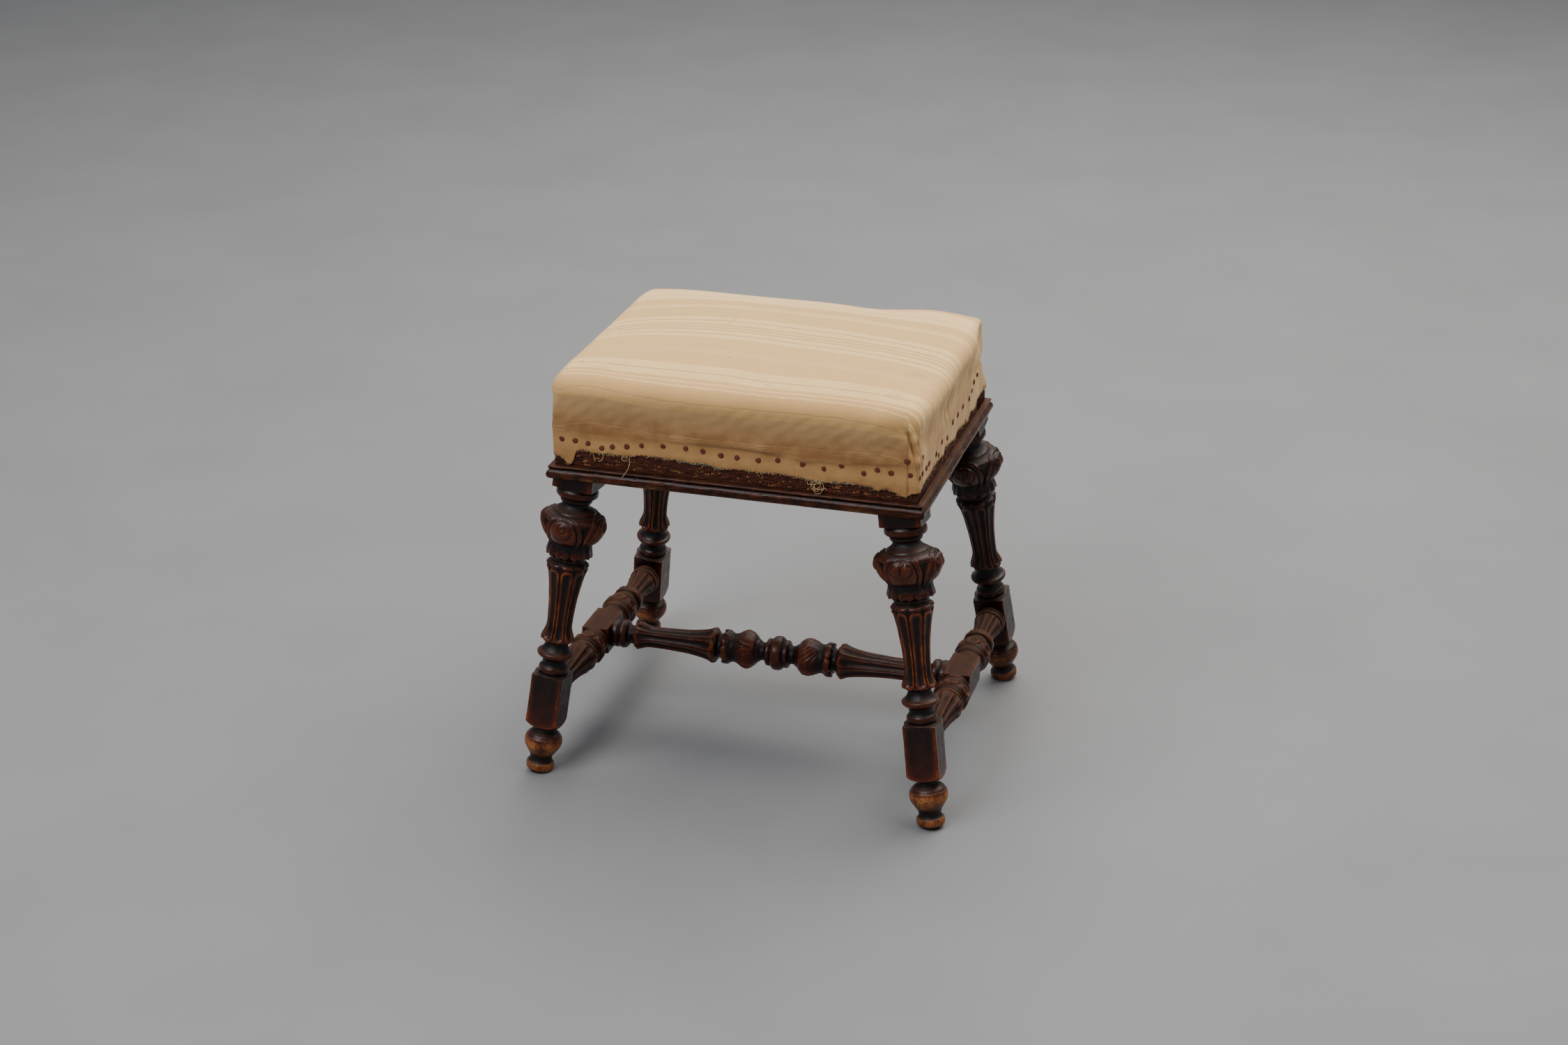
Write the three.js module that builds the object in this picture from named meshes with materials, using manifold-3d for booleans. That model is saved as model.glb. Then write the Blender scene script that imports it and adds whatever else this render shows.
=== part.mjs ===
// Carved stool on four splayed legs with an H stretcher and a stuffed-over seat.
// Millimetres, +Z up, X along the seat's long side, origin on the floor under its middle.
import * as THREE from 'three';
import { mergeVertices } from 'three/addons/utils/BufferGeometryUtils.js';
import Module from 'manifold-3d';

const wasm = await Module();
wasm.setup();

// Shared clearances
const fitGap = 0.3;
const overrun = 4;

// Seat rails: the outside of the rectangle that they make, and their section
const frameWidth = 422.4;
const frameDepth = 324.6;
const railHeight = 45;
const railThickness = 40;
const railTenonLength = 26;
const railTenonHeight = 14;
const railTenonWidth = 26;
const railTenonShoulder = 5;

// Mitred moulding boards under the rails, with a bead along the edge and a fillet on top of it
const mouldingThickness = 16.7;
const mouldingOverhang = 8.8;
const mouldingBoardWidth = 62;
const mouldingFilletHeight = 3;
const mouldingFilletInset = 2.4;
const mouldingBeadSteps = 5;

// Corner blocks inside the rails
const cornerBlockLeg = 40;
const cornerBlockHeight = 26;

// Webbing and hessian
const webbingThickness = 1.5;
const webbingWidth = 50;
const lengthwaysStraps = 3;
const crosswaysStraps = 4;
const webbingRailLap = 26;
const hessianThickness = 1;
const hessianRailLap = 34;

// Legs: where the axis stands under the boards, and how far the foot stands out from there
const legInset = 21.3;
const legSpreadX = 48.6;
const legSpreadY = 50.4;
const legSides = 12;

// Lengths along the leg's axis and largest radii of its turned sections, from the floor up
const footLength = 59.5;
const footRadius = 22;
const lowerBlockLength = 65;
const lowerBlockSide = 38;
const saucerLength = 41.5;
const saucerRadius = 21.3;
const shaftLength = 99;
const shaftRadius = 24.3;
const collarLength = 8;
const collarRadius = 20;
const bulbLength = 53.5;
const bulbRadius = 35.8;
const neckLength = 30;
const neckRadius = 24.2;
const topBlockLength = 16;
const topBlockSide = 48;
const shoulderLength = 8.5;
const lowerShoulderRadius = 17.5;
const topShoulderRadius = 25;
const legPinRadius = 10;
const legPinLength = 30;

// Side stretchers, between the legs' lower blocks and a little above the blocks' middle
const stretcherLift = 2.5;
const tenonRadius = 8;
const tenonLength = 14;
const sideBlockSide = 33;
const sideBlockLength = 57;
const ballRadius = 21.6;
const backBallLength = 66;
const backTrumpetRadius = 18.2;
const frontBallLength = 42;
const frontTrumpetRadius = 19.8;
const stretcherSides = 12;

// Centre stretcher, half of it, from the bead in its middle to the side block
const beadLength = 20;
const beadRadius = 20.8;
const vaseLength = 52;
const vaseRadius = 22.4;
const centreShaftLength = 116;
const centreShaftRadius = 22;
const endRingRadius = 17.6;

// Stuffing pad and cover
const padRise = 58;
const padCrown = 9;
const padStand = 4;
const padSidePull = 1.6;
const padCornerRadius = 14;
const padCornerDrop = 6;
const sidePoints = 4;
const cornerPoints = 4;
const coverThickness = 1.2;
const coverHemHeight = 14;

// Tacks through the cover into the rails
const tackHeadRadius = 3.2;
const tackHeadHeight = 1.1;
const tackShankRadius = 0.9;
const tackShankLength = 7.5;
const tackSides = 6;
const tackLineHeight = 32;
const tackTipShare = 0.6;
const tackCrownShare = 0.7;

// Turned outlines: share of a section's length, then share of its radius, from its lower end up
const footShares = [
  [0, 0.44], [0.04, 0.6], [0.13, 0.75], [0.28, 0.58], [0.4, 0.7], [0.54, 0.93], [0.66, 1], [0.77, 0.91],
  [0.87, 0.58], [0.94, 0.54], [1, 0.62],
];
const saucerShares = [
  [0, 0.77], [0.15, 0.82], [0.35, 0.65], [0.43, 0.66], [0.53, 0.95], [0.62, 1], [0.76, 0.76], [0.9, 0.62],
];
const shaftShares = [
  [0, 0.58], [0.035, 0.8], [0.1, 0.69], [0.2, 0.613], [0.4, 0.65], [0.62, 0.73], [0.8, 0.83],
  [0.955, 1], [1, 0.86],
];
const collarShares = [[0.1, 0.95], [0.45, 1], [0.9, 0.88]];
const bulbShares = [
  [0, 0.49], [0.06, 0.7], [0.12, 0.726], [0.28, 0.67], [0.42, 0.75], [0.6, 0.94], [0.757, 1],
  [0.88, 0.92], [0.97, 0.72],
];
const neckShares = [
  [0.02, 0.91], [0.12, 0.74], [0.3, 0.64], [0.42, 0.75], [0.52, 0.78], [0.68, 0.99], [0.85, 0.99], [1, 0.91],
];

// Side stretcher outlines, from the middle block towards the back leg and towards the front leg
const backBallShares = [
  [0, 0.8], [0.1, 0.8], [0.13, 0.74], [0.28, 0.92], [0.46, 1], [0.64, 0.94], [0.8, 0.72],
  [0.86, 0.85], [0.94, 0.86], [1, 0.62],
];
const backTrumpetShares = [
  [0.08, 0.7], [0.45, 0.78], [0.7, 0.93], [0.74, 0.86], [0.81, 1], [0.87, 0.91], [0.94, 1], [1, 0.98],
];
const frontBallShares = [
  [0, 0.8], [0.12, 0.82], [0.16, 0.76], [0.26, 0.84], [0.42, 0.97], [0.58, 0.99], [0.74, 0.91],
  [0.85, 0.78], [0.93, 0.84],
];
const frontTrumpetShares = [
  [0.02, 0.96], [0.09, 1], [0.2, 0.87], [0.4, 0.7], [0.7, 0.58], [0.8, 0.7], [0.86, 0.64],
  [0.92, 0.8], [1, 0.8],
];

// Centre stretcher outlines, from the middle outwards
const beadShares = [[0, 1], [0.22, 0.97], [0.4, 0.8], [0.64, 0.8], [0.78, 0.57]];
const vaseShares = [
  [0, 0.5], [0.1, 0.64], [0.22, 0.92], [0.37, 1], [0.54, 0.89], [0.68, 0.78], [0.84, 0.93],
  [0.91, 0.86], [0.95, 0.62],
];
const centreShaftShares = [
  [0, 0.577], [0.05, 0.93], [0.09, 1], [0.22, 0.78], [0.45, 0.65], [0.74, 0.59], [0.87, 0.69],
  [0.92, 0.777], [0.97, 0.54],
];
const endRingShares = [[0.1, 0.64], [0.24, 0.94], [0.42, 1], [0.62, 0.88], [0.68, 0.98], [1, 0.98]];

// Pad's side from its foot to its upper edge: share of its stand, share of its rise, and share of
// the way from level to upright that its skin faces. Then its crown, in rings towards the middle.
const padSideShares = [
  [0.1, 0.08, 0], [-0.1, 0.3, 0], [0.6, 0.52, 0.05], [1, 0.72, 0.15], [0.6, 0.87, 0.4],
  [-0.8, 0.96, 0.7], [-3.2, 1, 0.95],
];
const crownRingShares = [[0.88, 0.36], [0.68, 0.72], [0.4, 0.93]];

// Tacks: share of the rail's half length from its middle, and share of the tack line's height
const frontTackShares = [
  [-0.952, 1.01], [-0.876, 1], [-0.804, 0.94], [-0.726, 0.82], [-0.667, 0.91], [-0.585, 0.98],
  [-0.502, 1.08], [-0.382, 1.14], [-0.255, 1.15], [-0.161, 1.11], [-0.062, 1.03], [0.026, 1.01],
  [0.143, 1], [0.249, 1.08], [0.383, 1.04], [0.498, 0.95], [0.593, 1.13], [0.712, 0.94],
  [0.784, 1.12], [0.857, 1.06], [0.96, 1.05],
];
const rightTackShares = [
  [-0.93, 1], [-0.826, 0.98], [-0.75, 0.99], [-0.546, 0.93], [-0.383, 1.06], [-0.229, 0.9],
  [-0.071, 1.19], [0.083, 1.17], [0.234, 1.19], [0.432, 1.13],
];

// Heights and places that follow from the sizes above
const legRise = footLength + lowerBlockLength + saucerLength + shaftLength + collarLength
  + bulbLength + neckLength + topBlockLength;
const boardBottom = Math.sqrt(legRise ** 2 - legSpreadX ** 2 - legSpreadY ** 2);
const railBottom = boardBottom + mouldingThickness;
const railTop = railBottom + railHeight;
const legTopX = frameWidth / 2 - legInset;
const legTopY = frameDepth / 2 - legInset;
const stretcherAlongLeg = footLength + lowerBlockLength / 2 + stretcherLift;
const stretcherHeight = boardBottom * stretcherAlongLeg / legRise;
const stretcherX = legTopX + legSpreadX * (1 - stretcherAlongLeg / legRise);
const stretcherY = legTopY + legSpreadY * (1 - stretcherAlongLeg / legRise);
const openingWidth = frameWidth - 2 * railThickness;
const openingDepth = frameDepth - 2 * railThickness;
const strapLift = (webbingThickness + fitGap) / 2;
const hessianBottom = railTop + strapLift + webbingThickness + fitGap;
const padBottom = hessianBottom + hessianThickness + fitGap;

// Finishes
const darkWood = { color: 0x2e1a12, roughness: 0.42, metalness: 0 };
const railWood = { color: 0x3a2118, roughness: 0.7, metalness: 0 };
const plainWood = { color: 0xb08a5c, roughness: 0.8, metalness: 0 };
const juteCloth = { color: 0x9c7c52, roughness: 0.95, metalness: 0 };
const fibre = { color: 0x6b5137, roughness: 1, metalness: 0 };
const ticking = { color: 0xd9c09a, roughness: 0.9, metalness: 0 };
const rustySteel = { color: 0x5a2f22, roughness: 0.75, metalness: 0.4 };

const stool = new THREE.Group();

/** A closed geometry as a solid that can be joined and cut. */
function solid(geometry) {
  geometry.deleteAttribute('normal');
  geometry.deleteAttribute('uv');
  const merged = mergeVertices(geometry);
  const corners = merged.index.array;
  const kept = [];
  for (let i = 0; i < corners.length; i += 3) {
    const [a, b, c] = [corners[i], corners[i + 1], corners[i + 2]];
    if (a !== b && b !== c && c !== a) kept.push(a, b, c);
  }
  return new wasm.Manifold(new wasm.Mesh({
    numProp: 3,
    vertProperties: new Float32Array(merged.attributes.position.array),
    triVerts: new Uint32Array(kept),
  }));
}

/** A solid as a geometry. */
function geometryOf(shape) {
  const mesh = shape.getMesh();
  const geometry = new THREE.BufferGeometry();
  geometry.setAttribute('position', new THREE.BufferAttribute(new Float32Array(mesh.vertProperties), 3));
  geometry.setIndex(new THREE.BufferAttribute(new Uint32Array(mesh.triVerts), 1));
  return geometry;
}

/** Adds a solid to the stool as a named mesh with a finish of its own. */
function add(name, shape, finish) {
  const mesh = new THREE.Mesh(geometryOf(shape), new THREE.MeshStandardMaterial(finish));
  mesh.name = name;
  stool.add(mesh);
}

/** Box between two corners. */
function box(x0, y0, z0, x1, y1, z1) {
  const geometry = new THREE.BoxGeometry(x1 - x0, y1 - y0, z1 - z0);
  return geometry.translate((x0 + x1) / 2, (y0 + y1) / 2, (z0 + z1) / 2);
}

/** Turned shape about Z from [height, radius] pairs, closed on the axis at both ends. */
function turned(outline, sides) {
  const points = outline.map(([height, radius]) => new THREE.Vector2(radius, height));
  points.unshift(new THREE.Vector2(0, outline[0][0]));
  points.push(new THREE.Vector2(0, outline[outline.length - 1][0]));
  return new THREE.LatheGeometry(points, sides).rotateX(Math.PI / 2);
}

/** Outline of a section in millimetres, from its shares. */
function section(shares, start, length, radius) {
  return shares.map(([along, out]) => [start + along * length, out * radius]);
}

/** The same outline running the other way along the axis. */
function mirrored(outline) {
  return outline.map(([along, out]) => [-along, out]).reverse();
}

/** Prism with its outline in the XY plane. */
function prism(corners, bottom, height) {
  const shape = new THREE.Shape(corners.map(([x, y]) => new THREE.Vector2(x, y)));
  const geometry = new THREE.ExtrudeGeometry(shape, { depth: height, bevelEnabled: false });
  return geometry.translate(0, 0, bottom);
}

/** A shape made along Z, laid along Y at a side stretcher's place. */
function alongY(geometry, x) {
  return geometry.rotateX(-Math.PI / 2).translate(x, 0, stretcherHeight);
}

/** A shape made along Z, laid along X at the centre stretcher's place. */
function alongX(geometry) {
  return geometry.rotateY(Math.PI / 2).translate(0, 0, stretcherHeight);
}

/** Moves a shape made along Z from the floor up onto the axis of the leg at one corner. */
function legMatrix(sideX, sideY) {
  const foot = new THREE.Vector3(sideX * (legTopX + legSpreadX), sideY * (legTopY + legSpreadY), 0);
  const top = new THREE.Vector3(sideX * legTopX, sideY * legTopY, boardBottom);
  const up = top.clone().sub(foot).normalize();
  const across = new THREE.Vector3(1, 0, 0).addScaledVector(up, -up.x).normalize();
  const deep = up.clone().cross(across);
  return new THREE.Matrix4().makeBasis(across, deep, up).setPosition(foot);
}

/** Square stock with the corners turned off at its lower end, and at its upper end too if asked. */
function turnedBlock(start, length, side, endRadius, bothEnds) {
  const reach = side * Math.SQRT1_2 + fitGap;
  const outline = [[start, endRadius], [start + shoulderLength, reach]];
  if (bothEnds) outline.push([start + length - shoulderLength, reach], [start + length, endRadius]);
  else outline.push([start + length, reach]);
  const square = box(-side / 2, -side / 2, start, side / 2, side / 2, start + length);
  return solid(square).intersect(solid(turned(outline, legSides)));
}

/** Hole for a leg's top pin. */
function legPinHole(sideX, sideY) {
  const radius = legPinRadius + fitGap;
  const outline = [[legRise - overrun, radius], [legRise + legPinLength + fitGap, radius]];
  return solid(turned(outline, legSides).applyMatrix4(legMatrix(sideX, sideY)));
}

/** A leg's square lower block, wider by the clearance, which trims a stretcher to its face. */
function legBlockTrim(sideX, sideY) {
  const half = lowerBlockSide / 2 + fitGap;
  const block = box(-half, -half, footLength, half, half, footLength + lowerBlockLength);
  return solid(block.applyMatrix4(legMatrix(sideX, sideY)));
}

/** Outline of a leg's turnings along its own axis, from below the floor up into the top block. */
function legOutline() {
  const saucerStart = footLength + lowerBlockLength;
  const shaftStart = saucerStart + saucerLength;
  const collarStart = shaftStart + shaftLength;
  const bulbStart = collarStart + collarLength;
  const neckStart = bulbStart + bulbLength;
  const foot = section(footShares, 0, footLength, footRadius);
  const neck = section(neckShares, neckStart, neckLength, neckRadius);
  return [
    [-overrun, foot[0][1]],
    ...foot,
    ...section(saucerShares, saucerStart, saucerLength, saucerRadius),
    ...section(shaftShares, shaftStart, shaftLength, shaftRadius),
    ...section(collarShares, collarStart, collarLength, collarRadius),
    ...section(bulbShares, bulbStart, bulbLength, bulbRadius),
    ...neck,
    [legRise - topBlockLength / 2, neck[neck.length - 1][1]],
  ];
}

/** One leg: turnings and square blocks, cut flat at the floor and under the boards, with its pin. */
function makeLeg(sideX, sideY) {
  const reach = frameWidth;
  const topStart = legRise - topBlockLength;
  const pinOutline = [[topStart, legPinRadius], [legRise + legPinLength, legPinRadius]];
  const lower = turnedBlock(footLength, lowerBlockLength, lowerBlockSide, lowerShoulderRadius, true);
  const upper = turnedBlock(topStart, topBlockLength + 2 * overrun, topBlockSide, topShoulderRadius, false);
  const place = legMatrix(sideX, sideY);
  const placed = (geometry) => solid(geometry.applyMatrix4(place));
  const tenonEnd = sideY * (stretcherY - lowerBlockSide / 2 + tenonLength + fitGap);
  const mortise = turned([
    [Math.min(0, tenonEnd), tenonRadius + fitGap], [Math.max(0, tenonEnd), tenonRadius + fitGap],
  ], stretcherSides);
  return placed(turned(legOutline(), legSides))
    .add(placed(geometryOf(lower)))
    .add(placed(geometryOf(upper)))
    .subtract(solid(box(-reach, -reach, -reach, reach, reach, 0)))
    .subtract(solid(box(-reach, -reach, boardBottom, reach, reach, boardBottom + reach)))
    .add(placed(turned(pinOutline, legSides)))
    .subtract(solid(alongY(mortise, sideX * stretcherX)));
}

/** One side stretcher: turned halves each side of a square block, with round tenons into the legs. */
function makeSideStretcher(sideX) {
  const blockEnd = sideBlockLength / 2;
  const legFace = stretcherY - lowerBlockSide / 2;
  const half = (ballShares, ballLength, trumpetShares, trumpetRadius) => {
    const ballEnd = blockEnd + ballLength;
    const trumpet = section(trumpetShares, ballEnd, legFace - ballEnd, trumpetRadius);
    return [
      [blockEnd - fitGap, tenonRadius],
      ...section(ballShares, blockEnd, ballLength, ballRadius),
      ...trumpet,
      [legFace + overrun, trumpet[trumpet.length - 1][1]],
    ];
  };
  const front = half(frontBallShares, frontBallLength, frontTrumpetShares, frontTrumpetRadius);
  const back = half(backBallShares, backBallLength, backTrumpetShares, backTrumpetRadius);
  const turning = turned([...mirrored(front), ...back], stretcherSides);
  const tenonEnd = legFace + tenonLength;
  const tenon = turned([[-tenonEnd, tenonRadius], [tenonEnd, tenonRadius]], stretcherSides);
  const x = sideX * stretcherX;
  const side = sideBlockSide / 2;
  const block = box(-side, -blockEnd, -side, side, blockEnd, side).translate(x, 0, stretcherHeight);
  const inner = sideX * (stretcherX - side - overrun);
  const deep = sideX * (stretcherX - side + tenonLength + fitGap);
  const mortise = turned([
    [Math.min(inner, deep), tenonRadius + fitGap], [Math.max(inner, deep), tenonRadius + fitGap],
  ], stretcherSides);
  return solid(alongY(turning, x))
    .subtract(legBlockTrim(sideX, -1))
    .subtract(legBlockTrim(sideX, 1))
    .add(solid(block))
    .add(solid(alongY(tenon, x)))
    .subtract(solid(alongX(mortise)));
}

/** Centre stretcher, alike each side of its bead, with round tenons into the side blocks. */
function makeCentreStretcher() {
  const shoulder = stretcherX - sideBlockSide / 2 - fitGap;
  const shaftStart = beadLength + vaseLength;
  const ringStart = shaftStart + centreShaftLength;
  const half = [
    ...section(beadShares, 0, beadLength, beadRadius),
    ...section(vaseShares, beadLength, vaseLength, vaseRadius),
    ...section(centreShaftShares, shaftStart, centreShaftLength, centreShaftRadius),
    ...section(endRingShares, ringStart, shoulder - ringStart, endRingRadius),
  ];
  const turning = turned([...mirrored(half), ...half.slice(1)], stretcherSides);
  const tenonEnd = shoulder + tenonLength;
  const tenon = turned([[-tenonEnd, tenonRadius], [tenonEnd, tenonRadius]], stretcherSides);
  return solid(alongX(turning)).add(solid(alongX(tenon)));
}

/** Moulding board along X on the -Y side of a rectangle, with its edge moulded and its ends mitred. */
function mouldingBoard(halfLength, halfDistance) {
  const nose = halfDistance + mouldingOverhang;
  const end = halfLength + mouldingOverhang - fitGap / 2;
  const bead = (mouldingThickness - mouldingFilletHeight) / 2;
  const edge = new THREE.Shape();
  edge.moveTo(-nose + mouldingBoardWidth, 0);
  edge.lineTo(-nose + mouldingBoardWidth, mouldingThickness);
  edge.lineTo(-nose + mouldingFilletInset, mouldingThickness);
  edge.lineTo(-nose + mouldingFilletInset, 2 * bead);
  edge.lineTo(-nose + bead, 2 * bead);
  edge.absarc(-nose + bead, bead, bead, Math.PI / 2, 3 * Math.PI / 2, false);
  edge.closePath();
  const board = new THREE.ExtrudeGeometry(edge, {
    depth: 2 * end, bevelEnabled: false, curveSegments: mouldingBeadSteps,
  });
  const lay = new THREE.Matrix4().makeBasis(
    new THREE.Vector3(0, 1, 0), new THREE.Vector3(0, 0, 1), new THREE.Vector3(1, 0, 0),
  );
  board.applyMatrix4(lay).translate(-end, 0, boardBottom);
  const mitre = prism([
    [-end, -nose], [end, -nose],
    [end - mouldingBoardWidth, -nose + mouldingBoardWidth],
    [-end + mouldingBoardWidth, -nose + mouldingBoardWidth],
  ], boardBottom - overrun, mouldingThickness + 2 * overrun);
  return solid(board).intersect(solid(mitre));
}

/** Turns a solid about Z by whole quarter turns. */
function quarterTurned(shape, quarters) {
  return solid(geometryOf(shape).rotateZ(quarters * Math.PI / 2));
}

/** Tenon of a side rail at one end, or the mortise for it with the clearance all round. */
function railTenon(sideX, sideY, clearance) {
  const middle = sideX * (frameWidth - railThickness) / 2;
  const root = openingDepth / 2;
  const tip = root + railTenonLength + clearance;
  const top = railTop - railTenonShoulder + clearance;
  const half = railTenonWidth / 2 + clearance;
  const [y0, y1] = sideY > 0 ? [root - overrun, tip] : [-tip, overrun - root];
  return solid(box(middle - half, y0, top - railTenonHeight - 2 * clearance, middle + half, y1, top));
}

/** Front or back rail, over the whole width, with mortises and blind holes for the legs' pins. */
function makeLongRail(sideY) {
  const outer = sideY * frameDepth / 2;
  const inner = sideY * openingDepth / 2;
  const blank = box(
    -frameWidth / 2, Math.min(outer, inner), railBottom, frameWidth / 2, Math.max(outer, inner), railTop,
  );
  return solid(blank)
    .subtract(railTenon(-1, sideY, fitGap))
    .subtract(railTenon(1, sideY, fitGap))
    .subtract(legPinHole(-1, sideY))
    .subtract(legPinHole(1, sideY));
}

/** Side rail between the long rails, with a tenon at each end. */
function makeSideRail(sideX) {
  const outer = sideX * frameWidth / 2;
  const inner = sideX * openingWidth / 2;
  const end = openingDepth / 2 - fitGap;
  return solid(box(Math.min(outer, inner), -end, railBottom, Math.max(outer, inner), end, railTop))
    .add(railTenon(sideX, -1, 0))
    .add(railTenon(sideX, 1, 0));
}

/** Three-cornered glue block in one inner corner of the rails. */
function makeCornerBlock(sideX, sideY) {
  const x = sideX * (openingWidth / 2 - fitGap);
  const y = sideY * (openingDepth / 2 - fitGap);
  const corners = [[x, y], [x - sideX * cornerBlockLeg, y], [x, y - sideY * cornerBlockLeg]];
  return solid(prism(corners, railBottom, cornerBlockHeight));
}

/** Middles of evenly spaced straps across an opening. */
function strapPlaces(count, opening) {
  return Array.from({ length: count }, (_, i) => (i + 0.5) * opening / count - opening / 2);
}

/**
 * Strap along X that passes over and under the straps that cross it, from rail to rail.
 * Its side outline is extruded over its width.
 */
function makeStrap(place, opening, crossings, firstOver) {
  const end = opening / 2 + webbingRailLap;
  const half = webbingWidth / 2 + fitGap;
  const lower = [[-end, 0], [-opening / 2, 0]];
  crossings.forEach((crossing, i) => {
    const rise = (i % 2 === 0) === firstOver ? strapLift : -strapLift;
    lower.push([crossing - half, rise], [crossing + half, rise]);
  });
  lower.push([opening / 2, 0], [end, 0]);
  const upper = lower.map(([x, z]) => [x, z + webbingThickness]).reverse();
  const shape = new THREE.Shape([...lower, ...upper].map(([x, z]) => new THREE.Vector2(x, z)));
  const strap = new THREE.ExtrudeGeometry(shape, { depth: webbingWidth, bevelEnabled: false });
  return solid(strap.rotateX(Math.PI / 2).translate(0, place + webbingWidth / 2, railTop));
}

/** Outline of the seat in plan, with round corners, and how far each point is from the corners. */
function seatOutline(stand, radius, pull) {
  const halfX = frameWidth / 2 + stand;
  const halfY = frameDepth / 2 + stand;
  const points = [];
  for (let corner = 0; corner < 4; corner += 1) {
    const [signX, signY] = [[1, -1], [1, 1], [-1, 1], [-1, -1]][corner];
    const startAngle = (corner - 1) * Math.PI / 2;
    for (let i = 0; i < cornerPoints; i += 1) {
      const angle = startAngle + (i / (cornerPoints - 1)) * Math.PI / 2;
      points.push({
        x: signX * (halfX - radius) + radius * Math.cos(angle),
        y: signY * (halfY - radius) + radius * Math.sin(angle),
        mid: 0,
      });
    }
    const [nextX, nextY] = [[1, 1], [-1, 1], [-1, -1], [1, -1]][corner];
    const start = points[points.length - 1];
    const outX = Math.cos(startAngle + Math.PI / 2);
    const outY = Math.sin(startAngle + Math.PI / 2);
    const finish = {
      x: nextX * (halfX - radius) + radius * outX,
      y: nextY * (halfY - radius) + radius * outY,
    };
    for (let i = 1; i <= sidePoints; i += 1) {
      const share = i / (sidePoints + 1);
      const mid = Math.sqrt(Math.sin(share * Math.PI));
      points.push({
        x: start.x + (finish.x - start.x) * share - outX * pull * mid,
        y: start.y + (finish.y - start.y) * share - outY * pull * mid,
        mid,
      });
    }
  }
  return points;
}

/** Rings of the seat's skin from the foot of the pad to its crown, offset outwards by a distance. */
function seatRings(offset) {
  const rings = padSideShares.map(([standShare, riseShare, levelShare]) => {
    const level = levelShare * Math.PI / 2;
    const stand = standShare * padStand + offset * Math.cos(level);
    const height = padBottom + riseShare * padRise + offset * Math.sin(level);
    const pull = padSidePull * Math.sin(riseShare * Math.PI);
    return seatOutline(stand, padCornerRadius + Math.max(0, -stand), pull).map((p) => ({
      x: p.x, y: p.y, z: height - padCornerDrop * riseShare ** 4 * (1 - p.mid),
    }));
  });
  const rim = rings[rings.length - 1];
  const flat = padBottom + padRise + offset;
  crownRingShares.forEach(([reachShare, crownShare]) => {
    rings.push(rim.map((p) => ({
      x: p.x * reachShare,
      y: p.y * reachShare,
      z: (p.z - flat) * (1 - crownShare) + flat + crownShare * padCrown,
    })));
  });
  return rings;
}

/** Closed surface through rings of equal count, closed at both ends by a middle point or a rim. */
function skin(rings, lowMiddle, highMiddle) {
  const count = rings[0].length;
  const positions = rings.flat().flatMap((p) => [p.x, p.y, p.z]);
  const index = [];
  for (let row = 0; row + 1 < rings.length; row += 1) {
    for (let i = 0; i < count; i += 1) {
      const next = (i + 1) % count;
      const [a, b] = [row * count + i, row * count + next];
      index.push(a, b, b + count, a, b + count, a + count);
    }
  }
  [lowMiddle, highMiddle].forEach((height, atTop) => {
    const first = atTop ? (rings.length - 1) * count : 0;
    const middle = positions.length / 3;
    positions.push(0, 0, height);
    for (let i = 0; i < count; i += 1) {
      const next = (i + 1) % count;
      if (atTop) index.push(first + i, first + next, middle);
      else index.push(first + next, first + i, middle);
    }
  });
  const geometry = new THREE.BufferGeometry();
  geometry.setAttribute('position', new THREE.Float32BufferAttribute(positions, 3));
  geometry.setIndex(index);
  return geometry;
}

/** Stuffing pad: flat underneath, sides drawn in between the corners, and a low crown. */
function makePad() {
  const rings = seatRings(0);
  const foot = rings[0].map((p) => ({ x: p.x, y: p.y, z: padBottom }));
  return solid(skin([foot, ...rings], padBottom, padBottom + padRise + padCrown));
}

/** Ring of the cover where it lies on the rails. */
function railRing(offset, height) {
  return seatOutline(offset, offset, 0).map((p) => ({ x: p.x, y: p.y, z: height }));
}

/** Cover: a thin skin over the pad and down the rails to its hem, open underneath. */
function makeCover() {
  const hem = railBottom + coverHemHeight;
  const outside = fitGap + coverThickness;
  const filled = (offset, low) => {
    const rings = [railRing(offset, low), railRing(offset, railTop), ...seatRings(offset)];
    return solid(skin(rings, low, padBottom + padRise + padCrown + offset));
  };
  return filled(outside, hem).subtract(filled(fitGap, hem - overrun));
}

/** Tack made along Z with the underside of its head at zero and its shank below. */
function tackShape(clearance) {
  const radius = tackShankRadius + clearance;
  if (clearance > 0) return turned([[-tackShankLength - clearance, radius], [overrun, radius]], tackSides);
  return turned([
    [-tackShankLength, radius * tackTipShare], [0, radius], [0, tackHeadRadius],
    [tackHeadHeight, tackHeadRadius * tackCrownShare],
  ], tackSides);
}

/** Tack in the front rail at its place in the front row, or the hole for it. */
function frontTack([alongShare, heightShare], clearance) {
  return solid(tackShape(clearance).rotateX(Math.PI / 2).translate(
    alongShare * frameWidth / 2,
    -frameDepth / 2 - coverThickness - 2 * fitGap,
    railBottom + heightShare * tackLineHeight,
  ));
}

/** Tack in the right rail at its place in the right row, or the hole for it. */
function rightTack([alongShare, heightShare], clearance) {
  return solid(tackShape(clearance).rotateY(Math.PI / 2).translate(
    frameWidth / 2 + coverThickness + 2 * fitGap,
    alongShare * frameDepth / 2,
    railBottom + heightShare * tackLineHeight,
  ));
}

const sides = [[-1, 'left'], [1, 'right']];
const ends = [[-1, 'front'], [1, 'back']];
const corners = ends.flatMap(([sideY, end]) => sides.map(([sideX, side]) => [sideX, sideY, `${end}_${side}`]));
const tackHoles = [
  ...frontTackShares.map((place) => frontTack(place, fitGap)),
  ...rightTackShares.map((place) => rightTack(place, fitGap)),
];
const pinHoles = corners.map(([sideX, sideY]) => legPinHole(sideX, sideY));

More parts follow.
